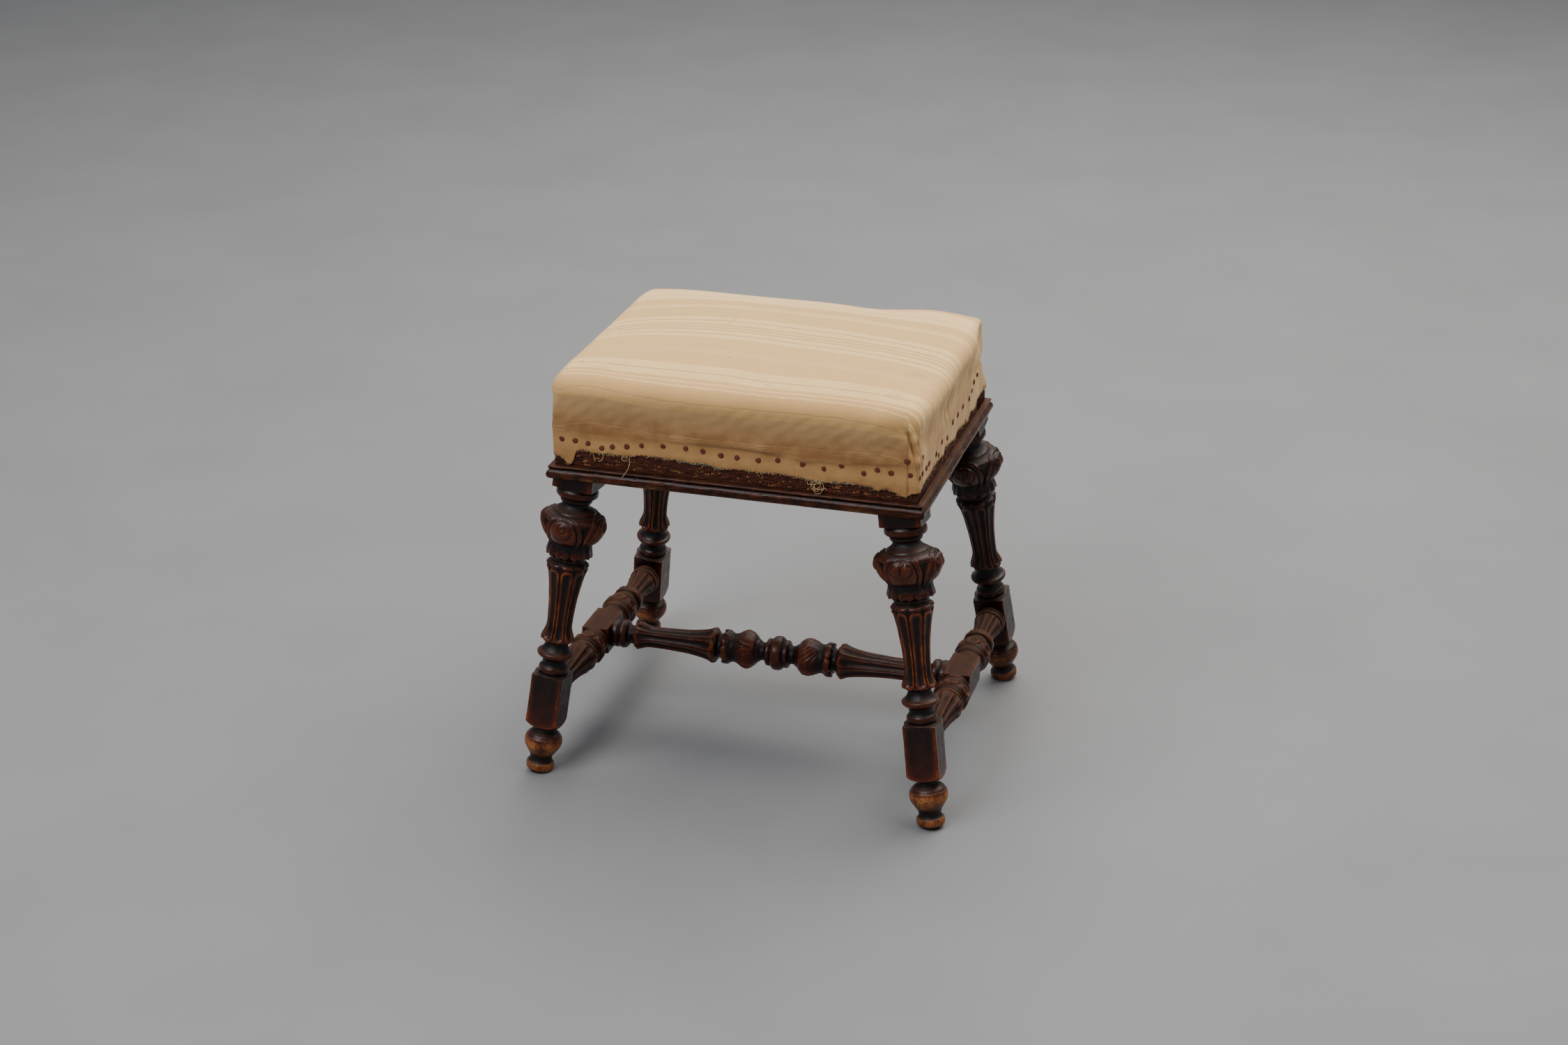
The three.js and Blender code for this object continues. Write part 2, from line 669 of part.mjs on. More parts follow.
/** A solid with every cutter in a list taken from it. */
function cutBy(shape, cutters) {
  return cutters.reduce((left, cutter) => left.subtract(cutter), shape);
}

// Legs and stretchers
corners.forEach(([sideX, sideY, corner]) => add(`leg_${corner}`, makeLeg(sideX, sideY), darkWood));
sides.forEach(([sideX, side]) => add(`side_stretcher_${side}`, makeSideStretcher(sideX), darkWood));
add('centre_stretcher', makeCentreStretcher(), darkWood);

// Mitred boards, and the rails on them
const longBoard = mouldingBoard(frameWidth / 2, frameDepth / 2);
const shortBoard = mouldingBoard(frameDepth / 2, frameWidth / 2);
add('moulding_front', cutBy(longBoard, pinHoles), darkWood);
add('moulding_right', cutBy(quarterTurned(shortBoard, 1), pinHoles), darkWood);
add('moulding_back', cutBy(quarterTurned(longBoard, 2), pinHoles), darkWood);
add('moulding_left', cutBy(quarterTurned(shortBoard, 3), pinHoles), darkWood);
ends.forEach(([sideY, end]) => add(`rail_${end}`, cutBy(makeLongRail(sideY), tackHoles), railWood));
sides.forEach(([sideX, side]) => add(`rail_${side}`, cutBy(makeSideRail(sideX), tackHoles), railWood));
corners.forEach(([sideX, sideY, corner]) => {
  add(`corner_block_${corner}`, makeCornerBlock(sideX, sideY), plainWood);
});

// Webbing, interlaced, and the hessian over it
const lengthwaysPlaces = strapPlaces(lengthwaysStraps, openingDepth);
const crosswaysPlaces = strapPlaces(crosswaysStraps, openingWidth);
lengthwaysPlaces.forEach((place, i) => {
  const strap = makeStrap(place, openingWidth, crosswaysPlaces, i % 2 === 0);
  add(`webbing_lengthways_${i + 1}`, strap, juteCloth);
});
crosswaysPlaces.forEach((place, i) => {
  const strap = makeStrap(-place, openingDepth, lengthwaysPlaces, i % 2 === 1);
  add(`webbing_crossways_${i + 1}`, quarterTurned(strap, 1), juteCloth);
});
const hessianX = openingWidth / 2 + hessianRailLap;
const hessianY = openingDepth / 2 + hessianRailLap;
const hessianTop = hessianBottom + hessianThickness;
add('hessian', solid(box(-hessianX, -hessianY, hessianBottom, hessianX, hessianY, hessianTop)), juteCloth);

// Pad, cover and tacks
add('stuffing_pad', makePad(), fibre);
add('seat_cover', cutBy(makeCover(), tackHoles), ticking);
frontTackShares.forEach((place, i) => {
  add(`tack_front_${String(i + 1).padStart(2, '0')}`, frontTack(place, 0), rustySteel);
});
rightTackShares.forEach((place, i) => {
  add(`tack_right_${String(i + 1).padStart(2, '0')}`, rightTack(place, 0), rustySteel);
});

export default stool;
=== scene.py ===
"""Carved stool on four splayed legs with an H stretcher and a stuffed-over seat in striped ticking.

Shapes are worked out in millimetres as whole numpy grids and become metres when a mesh is made.
X runs along the seat's long side, Y from front to back, Z up, and the origin is on the floor.
"""

import logging
import math
from dataclasses import dataclass, field
from enum import Enum

import bpy
import numpy as np
from mathutils import Matrix, Vector


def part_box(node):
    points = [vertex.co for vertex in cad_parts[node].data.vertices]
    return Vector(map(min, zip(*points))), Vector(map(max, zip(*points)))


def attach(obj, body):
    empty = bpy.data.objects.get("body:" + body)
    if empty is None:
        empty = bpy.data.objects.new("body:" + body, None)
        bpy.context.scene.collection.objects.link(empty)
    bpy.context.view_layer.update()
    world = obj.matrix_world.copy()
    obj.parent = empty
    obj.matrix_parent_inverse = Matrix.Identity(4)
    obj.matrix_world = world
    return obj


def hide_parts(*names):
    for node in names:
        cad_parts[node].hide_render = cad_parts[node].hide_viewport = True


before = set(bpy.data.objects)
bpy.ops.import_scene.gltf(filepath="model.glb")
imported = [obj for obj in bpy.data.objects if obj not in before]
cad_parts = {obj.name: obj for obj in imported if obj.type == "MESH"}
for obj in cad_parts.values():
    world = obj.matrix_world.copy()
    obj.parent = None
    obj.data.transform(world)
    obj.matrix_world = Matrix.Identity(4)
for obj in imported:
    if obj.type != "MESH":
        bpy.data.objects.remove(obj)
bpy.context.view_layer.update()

log = logging.getLogger("stool")
MM = 0.001
BODY = "root"
Pairs = tuple[tuple[float, float], ...]


class Slot(Enum):
    """The record's material slots."""

    WALNUT = "carved_walnut"
    RAIL = "rail_wood"
    PLAIN = "plain_wood"
    WEBBING = "jute_webbing"
    HESSIAN = "hessian"
    STUFFING = "fibre_stuffing"
    TICKING = "striped_ticking"
    STEEL = "rusty_steel"


class Grain(Enum):
    """The way the grain runs, as the axis that it follows."""

    UPRIGHT = (1.0, 1.0, 0.07)
    ALONG_X = (0.07, 1.0, 1.0)
    ALONG_Y = (1.0, 0.07, 1.0)


# Curves, bumps and noise, all on whole arrays


def smooth_curve(knots: Pairs, at: np.ndarray) -> np.ndarray:
    """Monotone cubic through (x, y) knots, held at its end values outside them.

    Each piece is a Hermite cubic. The slope at a knot is the weighted harmonic mean of the two
    chords that meet there, and zero where they change sign, so round forms keep their peaks.

    Args:
        knots: Places and values, in rising order of place.
        at: Places to work out.

    Returns:
        The values there, in the shape of at.
    """
    x, y = np.array(knots, float).T
    step = np.diff(x)
    chord = np.diff(y) / step
    slope = np.zeros_like(y)
    before, after = 2 * step[1:] + step[:-1], step[1:] + 2 * step[:-1]
    same = chord[:-1] * chord[1:] > 0
    safe = np.where(same, chord[:-1], 1.0), np.where(same, chord[1:], 1.0)
    slope[1:-1] = np.where(same, (before + after) / (before / safe[0] + after / safe[1]), 0.0)
    held = np.clip(at, x[0], x[-1])
    i = np.clip(np.searchsorted(x, held, side="right") - 1, 0, len(x) - 2)
    t = (held - x[i]) / step[i]
    return (
        (2 * t**3 - 3 * t**2 + 1) * y[i] + (t**3 - 2 * t**2 + t) * step[i] * slope[i]
        + (3 * t**2 - 2 * t**3) * y[i + 1] + (t**3 - t**2) * step[i] * slope[i + 1]
    )


def ramp(x: np.ndarray, low: float, high: float) -> np.ndarray:
    """Smooth step 3t² - 2t³ from 0 at low to 1 at high."""
    t = np.clip((x - low) / (high - low), 0, 1)
    return t * t * (3 - 2 * t)


def hump(x: np.ndarray, middle: float, half: float) -> np.ndarray:
    """Rounded bump (1 - ((x - middle) / half)²)², and 0 outside half."""
    return np.clip(1 - ((x - middle) / half) ** 2, 0, 1) ** 2


def spot(x: np.ndarray, y: np.ndarray, place: tuple[float, float], reach: float) -> np.ndarray:
    """Bell exp(-d² / reach²) round a place on a grid of two coordinates."""
    return np.exp(-((x - place[0]) ** 2 + (y - place[1]) ** 2) / reach**2)


def ripple(x: np.ndarray, y: np.ndarray, wavelength: float, seed: int, waves: int = 7) -> np.ndarray:
    """Smooth uneven field from -1 to 1: a sum of seeded plane waves near one wavelength.

    Args:
        x: First coordinate, in millimetres.
        y: Second coordinate, in millimetres.
        wavelength: Typical distance from crest to crest.
        seed: Number that picks the waves.
        waves: How many are summed.
    """
    draw = np.random.default_rng(seed)
    total = np.zeros(np.broadcast(x, y).shape)
    for _ in range(waves):
        turn, phase = draw.uniform(0, 2 * np.pi, 2)
        pace = 2 * np.pi / (wavelength * draw.uniform(0.6, 1.7))
        total += np.sin(pace * (x * np.cos(turn) + y * np.sin(turn)) + phase)
    return total / waves**0.5 / 1.5


def softened(values: np.ndarray, reach: int, wrap: bool) -> np.ndarray:
    """Box average over 2 reach + 1 rows and columns, done twice; columns go round if wrap is set."""
    for _ in range(2):
        for axis in (0, 1):
            mode = "wrap" if wrap and axis == 1 else "edge"
            edges = [(0, 0), (0, 0)]
            edges[axis] = (reach + 1, reach)
            total = np.cumsum(np.pad(values, edges, mode=mode), axis=axis)
            high = np.take(total, range(2 * reach + 1, total.shape[axis]), axis=axis)
            low = np.take(total, range(0, total.shape[axis] - 2 * reach - 1), axis=axis)
            values = (high - low) / (2 * reach + 1)
    return values


def worn_corner(points: np.ndarray) -> np.ndarray:
    """Points moved in where the rails' back right corner is knocked off under the cover.

    The way is 7 exp(-d² / reach²) along the diagonal, d from the corner, and grows from nothing low
    on the rail to all of it at the rail's top; higher up, in the soft part, it dies out again.
    """
    x, y, z = points[..., 0], points[..., 1], points[..., 2]
    way = 7.0 * spot(x, y, (211.2, 162.3), 20.0) * ramp(z, 400, 429) * (1 - ramp(z, 446, 470))
    return points - way[..., None] * np.array([0.707, 0.707, 0.0])


# Meshes


def mesh_object(
    name: str, points: np.ndarray, faces: list[np.ndarray], values: dict[str, np.ndarray],
) -> bpy.types.Object:
    """Makes a mesh object at the origin from arrays.

    Args:
        name: The piece's name.
        points: Corners in millimetres, one row each.
        faces: Arrays of corner numbers, one with four columns and one with three, or either.
        values: Point attributes, one number each, or three for a vector.

    Returns:
        The object, linked to the scene and shaded smooth.
    """
    mesh = bpy.data.meshes.new(name)
    corners = np.concatenate([f.ravel() for f in faces]).astype(np.int32)
    sizes = np.concatenate([np.full(len(f), f.shape[1]) for f in faces])
    starts = np.concatenate([[0], np.cumsum(sizes)[:-1]]).astype(np.int32)
    mesh.vertices.add(len(points))
    mesh.vertices.foreach_set("co", (points * MM).astype(np.float32).ravel())
    mesh.loops.add(len(corners))
    mesh.loops.foreach_set("vertex_index", corners)
    mesh.polygons.add(len(starts))
    mesh.polygons.foreach_set("loop_start", starts)
    mesh.update(calc_edges=True)
    mesh.polygons.foreach_set("use_smooth", np.ones(len(starts), bool))
    for key, array in values.items():
        kind, slot = ("FLOAT", "value") if array.ndim == 1 else ("FLOAT_VECTOR", "vector")
        mesh.attributes.new(key, kind, "POINT").data.foreach_set(slot, array.astype(np.float32).ravel())
    mesh.validate()
    made = bpy.data.objects.new(name, mesh)
    bpy.context.scene.collection.objects.link(made)
    return made


def grid_quads(numbers: np.ndarray, wrap: bool) -> np.ndarray:
    """Four-cornered faces of a grid of point numbers, its columns joined round if wrap is set."""
    if wrap:
        numbers = np.concatenate([numbers, numbers[:, :1]], axis=1)
    a, b = numbers[:-1, :-1], numbers[:-1, 1:]
    c, d = numbers[1:, 1:], numbers[1:, :-1]
    return np.stack([a, b, c, d], axis=-1).reshape(-1, 4)


def closed_grid(name: str, points: np.ndarray, values: dict[str, np.ndarray]) -> bpy.types.Object:
    """Tube of rings, each a row of the grid, closed at both ends by a fan to its ring's middle.

    Args:
        name: The piece's name.
        points: Grid of rings by points by three, in millimetres, anticlockwise seen from the end.
        values: Point attributes as grids of rings by points.

    Returns:
        The object.
    """
    rings, count = points.shape[:2]
    numbers = np.arange(rings * count).reshape(rings, count)
    low, high = rings * count, rings * count + 1
    first, last = numbers[0], numbers[-1]
    bottom = np.stack([np.full(count, low), np.roll(first, -1), first], axis=-1)
    top = np.stack([np.full(count, high), last, np.roll(last, -1)], axis=-1)
    everything = np.concatenate([points.reshape(-1, 3), points[:1].mean(1), points[-1:].mean(1)])
    ends = {k: np.concatenate([v.ravel(), [v[0].mean(), v[-1].mean()]]) for k, v in values.items()}
    return mesh_object(name, everything, [grid_quads(numbers, True), bottom, top], ends)


def slab(name: str, lower: np.ndarray, upper: np.ndarray, values: dict[str, np.ndarray]) -> bpy.types.Object:
    """Thin closed sheet between two grids of points whose rims are joined.

    Args:
        name: The piece's name.
        lower: Grid on the inner side, in millimetres.
        upper: Grid on the outer side, which lies towards (along the rows) x (along the columns).
        values: Point attributes as grids, alike on both sides.

    Returns:
        The object.
    """
    numbers = np.arange(lower[..., 0].size).reshape(lower.shape[:2])
    count = numbers.size
    rim = np.concatenate([numbers[:-1, 0], numbers[-1, :-1], numbers[:0:-1, -1], numbers[0, :0:-1]])
    around = np.stack([rim, np.roll(rim, -1), np.roll(rim, -1) + count, rim + count], axis=-1)
    faces = [grid_quads(numbers, False), grid_quads((numbers + count).T, False), around]
    points = np.concatenate([lower.reshape(-1, 3), upper.reshape(-1, 3)])
    both = {key: np.concatenate([array.reshape(count, -1)] * 2).squeeze() for key, array in values.items()}
    return mesh_object(name, points, faces, both)


def finish_piece(piece: bpy.types.Object, material: bpy.types.Material, slot: Slot, *nodes: str) -> None:
    """Gives a piece its material and its body, hides the CAD nodes it stands for, and logs them."""
    piece.data.materials.clear()
    piece.data.materials.append(material)
    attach(piece, BODY)
    if nodes:
        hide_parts(*nodes)
    log.info("%s: %d faces, for %s", piece.name, len(piece.data.polygons), ", ".join(nodes) or "no node")


# Materials


def linear(colour: str) -> tuple[float, float, float, float]:
    """An sRGB hex colour such as 8a4a22 as linear red, green, blue and alpha."""
    parts = [int(colour[i:i + 2], 16) / 255 for i in (0, 2, 4)]
    return (*[c / 12.92 if c <= 0.04045 else ((c + 0.055) / 1.055) ** 2.4 for c in parts], 1.0)


def add(tree: bpy.types.NodeTree, kind: str, inputs: dict | None = None, **settings: object) -> bpy.types.Node:
    """Adds a shader node with its settings, and sets or links its inputs.

    Args:
        tree: The node tree.
        kind: The node's type without ShaderNode before it.
        inputs: Values or sockets by input name or number.
        settings: Properties of the node itself.

    Returns:
        The node.
    """
    node = tree.nodes.new("ShaderNode" + kind)
    for key, value in settings.items():
        setattr(node, key, value)
    for key, value in (inputs or {}).items():
        if isinstance(value, bpy.types.NodeSocket):
            tree.links.new(value, node.inputs[key])
        else:
            node.inputs[key].default_value = value
    return node


def blank_material(name: str, **settings: object) -> tuple[bpy.types.Material, bpy.types.NodeTree, bpy.types.Node]:
    """A new node material, its tree and its Principled shader with the settings given by socket name."""
    material = bpy.data.materials.new(name)
    material.use_nodes = True
    shader = material.node_tree.nodes["Principled BSDF"]
    for key, value in settings.items():
        shader.inputs[key.replace("_", " ")].default_value = value
    return material, material.node_tree, shader


def colour_ramp(
    tree: bpy.types.NodeTree, factor: bpy.types.NodeSocket, stops: list[tuple[float, str]], stepped: bool = False,
) -> bpy.types.NodeSocket:
    """Colour from a factor through stops of place and hex colour, at most 32; returns the socket."""
    node = add(tree, "ValToRGB", {"Fac": factor})
    band = node.color_ramp
    band.interpolation = "CONSTANT" if stepped else "LINEAR"
    while len(band.elements) > 1:
        band.elements.remove(band.elements[-1])
    band.elements[0].position, band.elements[0].color = stops[0][0], linear(stops[0][1])
    for place, colour in stops[1:]:
        band.elements.new(place).color = linear(colour)
    return node.outputs["Color"]


def mixed(
    tree: bpy.types.NodeTree, factor: bpy.types.NodeSocket | float, first: object, second: object, blend: str = "MIX",
) -> bpy.types.NodeSocket:
    """Blends two colours by a factor; a colour may be a socket or a hex value."""
    inputs = {0: factor}
    for number, value in ((6, first), (7, second)):
        inputs[number] = linear(value) if isinstance(value, str) else value
    return add(tree, "Mix", inputs, data_type="RGBA", blend_type=blend).outputs[2]


def between(
    tree: bpy.types.NodeTree, value: bpy.types.NodeSocket, low: float, high: float,
    to_low: float = 0.0, to_high: float = 1.0,
) -> bpy.types.NodeSocket:
    """A value mapped from one range to another and held at its ends."""
    inputs = {"Value": value, "From Min": low, "From Max": high, "To Min": to_low, "To Max": to_high}
    return add(tree, "MapRange", inputs).outputs["Result"]


def product(tree: bpy.types.NodeTree, first: object, second: object, operation: str = "MULTIPLY") -> bpy.types.NodeSocket:
    """Two values multiplied, or combined by another operation."""
    return add(tree, "Math", {0: first, 1: second}, operation=operation).outputs[0]


def noise(tree: bpy.types.NodeTree, where: bpy.types.NodeSocket, size: float, detail: float = 3.0) -> bpy.types.NodeSocket:
    """Noise whose blobs are about a size in millimetres, on coordinates in metres."""
    inputs = {"Vector": where, "Scale": 1 / (size * MM), "Detail": detail}
    return add(tree, "TexNoise", inputs).outputs["Fac"]


def bumped(
    tree: bpy.types.NodeTree, shader: bpy.types.Node, layers: list[tuple[bpy.types.NodeSocket, float]],
) -> None:
    """Stacks bump layers, each a height and its depth in millimetres, into the shader's normal."""
    normal = None
    for height, depth in layers:
        inputs = {"Height": height, "Distance": depth * MM}
        if normal:
            inputs["Normal"] = normal
        normal = add(tree, "Bump", inputs).outputs["Normal"]
    tree.links.new(normal, shader.inputs["Normal"])


@dataclass(frozen=True)
class CarvedWalnut:
    """Walnut, stained nearly black and waxed: dark hollows, arrises rubbed to orange wood."""

    label: str = "waxed_walnut"
    dark: str = "0c0504"
    brown: str = "280f08"
    warm: str = "571f0b"
    rubbed: str = "9a4a16"
    bare: str = "a06a3a"
    soot: str = "050302"
    dust: str = "463427"
    dusting: float = 0.45
    specular: float = 0.3
    pore_width: float = 1.1
    patch_size: float = 14.0
    speck_size: float = 2.2

    def make(self, grain: Grain) -> bpy.types.Material:
        """The material with its grain along one axis.

        Args:
            grain: The way the grain runs.

        Returns:
            The material, which reads the point attributes wear, grime, warm and bare.
        """
        name = f"{self.label}_{grain.name.lower()}"
        material, tree, shader = blank_material(name, IOR=1.48, Specular_IOR_Level=self.specular)
        place = add(tree, "TexCoord").outputs["Object"]
        along = add(tree, "Mapping", {"Vector": place, "Scale": grain.value}).outputs["Vector"]
        pores = noise(tree, along, self.pore_width, 4.0)
        patches = noise(tree, place, self.patch_size, 3.0)
        specks = noise(tree, place, self.speck_size, 2.0)
        wear, grime, warm, bare = (
            add(tree, "Attribute", attribute_name=key).outputs["Fac"] for key in ("wear", "grime", "warm", "bare")
        )
        base = mixed(tree, between(tree, pores, 0.35, 0.7), self.dark, self.brown)
        warmth = product(tree, warm, between(tree, patches, 0.3, 0.7, 0.45, 1.1))
        base = mixed(tree, warmth, base, self.warm)
        rubbed = product(tree, wear, between(tree, pores, 0.36, 0.62, 0.15, 1.3))
        rubbed = product(tree, rubbed, between(tree, patches, 0.32, 0.62, 0.25, 1.0))
        base = mixed(tree, rubbed, base, self.rubbed)
        bared = product(tree, bare, between(tree, patches, 0.36, 0.58, 0.1, 1.0))
        bared = product(tree, bared, between(tree, specks, 0.34, 0.5, 0.1, 1.0))
        base = mixed(tree, bared, base, self.bare)
        base = mixed(tree, grime, base, self.soot)
        up = add(tree, "SeparateXYZ", {0: add(tree, "NewGeometry").outputs["Normal"]}).outputs["Z"]
        settled = product(tree, between(tree, up, 0.5, 1.0, 0.0, self.dusting), between(tree, patches, 0.1, 0.6))
        base = mixed(tree, settled, base, self.dust)
        tree.links.new(base, shader.inputs["Base Color"])
        gloss = between(tree, specks, 0.3, 0.7, 0.15, 0.34)
        gloss = product(tree, gloss, product(tree, settled, 0.75), "ADD")
        gloss = product(tree, gloss, product(tree, product(tree, grime, 0.25), product(tree, bared, 0.5), "ADD"), "ADD")
        tree.links.new(gloss, shader.inputs["Roughness"])
        bumped(tree, shader, [(pores, 0.1), (specks, 0.07)])
        return material


@dataclass(frozen=True)
class BareRail:
    """Old beech rail under the cover, stained brown, with raw orange wood where tacks tore it."""

    dark: str = "2c140c"
    brown: str = "552a18"
    raw: str = "a8703f"
    soot: str = "0c0705"
    red_paint: str = "7d1f1c"
    pore_width: float = 1.4
    patch_size: float = 9.0
    paint_size: float = 4.0

    def make(self) -> bpy.types.Material:
        """The material, which reads the point attributes wear, grime and paint."""
        material, tree, shader = blank_material("stained_beech", IOR=1.45, Specular_IOR_Level=0.25)
        place = add(tree, "TexCoord").outputs["Object"]
        stretch = {"Vector": place, "Scale": (0.12, 0.12, 1.0)}
        along = add(tree, "Mapping", stretch).outputs["Vector"]
        pores = noise(tree, along, self.pore_width, 4.0)
        patches = noise(tree, place, self.patch_size, 4.0)
        wear, grime = (add(tree, "Attribute", attribute_name=key).outputs["Fac"] for key in ("wear", "grime"))
        base = mixed(tree, between(tree, pores, 0.35, 0.68), self.dark, self.brown)
        base = mixed(tree, between(tree, patches, 0.5, 0.75, 0.0, 0.5), base, self.dark)
        paint = add(tree, "Attribute", attribute_name="paint").outputs["Fac"]
        painted = between(tree, product(tree, paint, noise(tree, place, self.paint_size, 4.0)), 0.36, 0.42)
        base = mixed(tree, painted, base, self.red_paint)
        torn = product(tree, wear, between(tree, patches, 0.35, 0.6, 0.4, 1.0))
        base = mixed(tree, torn, base, self.raw)
        base = mixed(tree, grime, base, self.soot)
        tree.links.new(base, shader.inputs["Base Color"])
        tree.links.new(between(tree, patches, 0.3, 0.7, 0.62, 0.85), shader.inputs["Roughness"])
        bumped(tree, shader, [(pores, 0.2), (patches, 0.25)])
        return material


@dataclass(frozen=True)
class SawnPine:
    """Sawn pine of the glue blocks: pale, never finished, browned by age, with saw ridges."""

    pale: str = "b18a58"
    ring: str = "8a6238"
    ring_width: float = 5.0
    saw_pitch: float = 2.5

    def make(self) -> bpy.types.Material:
        """The material, on object coordinates alone."""
        material, tree, shader = blank_material("sawn_pine", Roughness=0.82, IOR=1.45)
        place = add(tree, "TexCoord").outputs["Object"]
        stretch = {"Vector": place, "Scale": (1.0, 1.0, 0.15)}
        along = add(tree, "Mapping", stretch).outputs["Vector"]
        rings = noise(tree, along, self.ring_width, 4.0)
        base = mixed(tree, between(tree, rings, 0.4, 0.6), self.pale, self.ring)
        tree.links.new(base, shader.inputs["Base Color"])
        saw = add(tree, "TexWave", {"Vector": place, "Scale": 1 / (self.saw_pitch * MM) / 20, "Distortion": 3.0},
                  bands_direction="Z")
        bumped(tree, shader, [(saw.outputs["Fac"], 0.15), (rings, 0.2)])
        return material


@dataclass(frozen=True)
class WovenJute:
    """Plain woven jute: coarse square weave with thick and thin yarns and dust in it."""

    light: str
    shade: str
    yarn: float

    def make(self, name: str) -> bpy.types.Material:
        """The material, whose yarns follow the vector attribute cloth, in metres.

        Args:
            name: The material's name.

        Returns:
            The material.
        """
        material, tree, shader = blank_material(name, Roughness=0.95, Sheen_Weight=0.1)
        cloth = add(tree, "Attribute", attribute_name="cloth").outputs["Vector"]
        pace = 1 / (self.yarn * MM) / 20
        ends, picks = (
            add(tree, "TexWave", {"Vector": cloth, "Scale": pace * 2, "Distortion": 0.6}, bands_direction=way)
            for way in ("X", "Y")
        )
        weave = product(tree, ends.outputs["Fac"], picks.outputs["Fac"])
        slub = noise(tree, cloth, self.yarn * 6, 4.0)
        base = mixed(tree, between(tree, weave, 0.0, 0.6), self.shade, self.light)
        base = mixed(tree, between(tree, slub, 0.4, 0.75, 0.0, 0.5), base, self.shade)
        tree.links.new(base, shader.inputs["Base Color"])
        bumped(tree, shader, [(weave, 0.4 * self.yarn), (slub, 0.3)])
        return material


@dataclass(frozen=True)
class BrownFibre:
    """Tow stuffing: matted brown fibres."""

    light: str = "7a6042"
    dark: str = "3b2c1c"
    tuft: float = 6.0
    strand: float = 0.8

    def make(self) -> bpy.types.Material:
        """The material, on object coordinates."""
        material, tree, shader = blank_material("tow_stuffing", Roughness=1.0)
        place = add(tree, "TexCoord").outputs["Object"]
        tufts, strands = noise(tree, place, self.tuft, 5.0), noise(tree, place, self.strand, 2.0)
        base = mixed(tree, between(tree, tufts, 0.35, 0.65), self.dark, self.light)
        tree.links.new(base, shader.inputs["Base Color"])
        bumped(tree, shader, [(tufts, 2.0), (strands, 0.6)])
        return material


@dataclass(frozen=True)
class RustedIron:
    """Cut iron tacks, rusted red-brown all over, with dark scale."""

    rust: str = "7c4030"
    scale: str = "4a261b"
    grain: float = 0.9

    def make(self) -> bpy.types.Material:
        """The material, on object coordinates."""
        material, tree, shader = blank_material("rusted_iron", Specular_IOR_Level=0.2)
        place = add(tree, "TexCoord").outputs["Object"]
        crust = noise(tree, place, self.grain, 4.0)
        base = mixed(tree, between(tree, crust, 0.35, 0.65), self.scale, self.rust)
        tree.links.new(base, shader.inputs["Base Color"])
        tree.links.new(between(tree, crust, 0.3, 0.7, 0.75, 0.95), shader.inputs["Roughness"])
        bumped(tree, shader, [(crust, 0.15)])
        return material


@dataclass(frozen=True)
class CottonThread:
    """Spun cotton thread in one colour, slightly uneven along its length."""

    colour: str
    shade: str

    def make(self, name: str) -> bpy.types.Material:
        """The material under a name."""
        material, tree, shader = blank_material(name, Roughness=0.9, Sheen_Weight=0.2)
        place = add(tree, "TexCoord").outputs["Object"]
        spun = noise(tree, place, 1.5, 2.0)
        base = mixed(tree, between(tree, spun, 0.35, 0.65), self.colour, self.shade)
        tree.links.new(base, shader.inputs["Base Color"])
        bumped(tree, shader, [(spun, 0.1)])
        return material


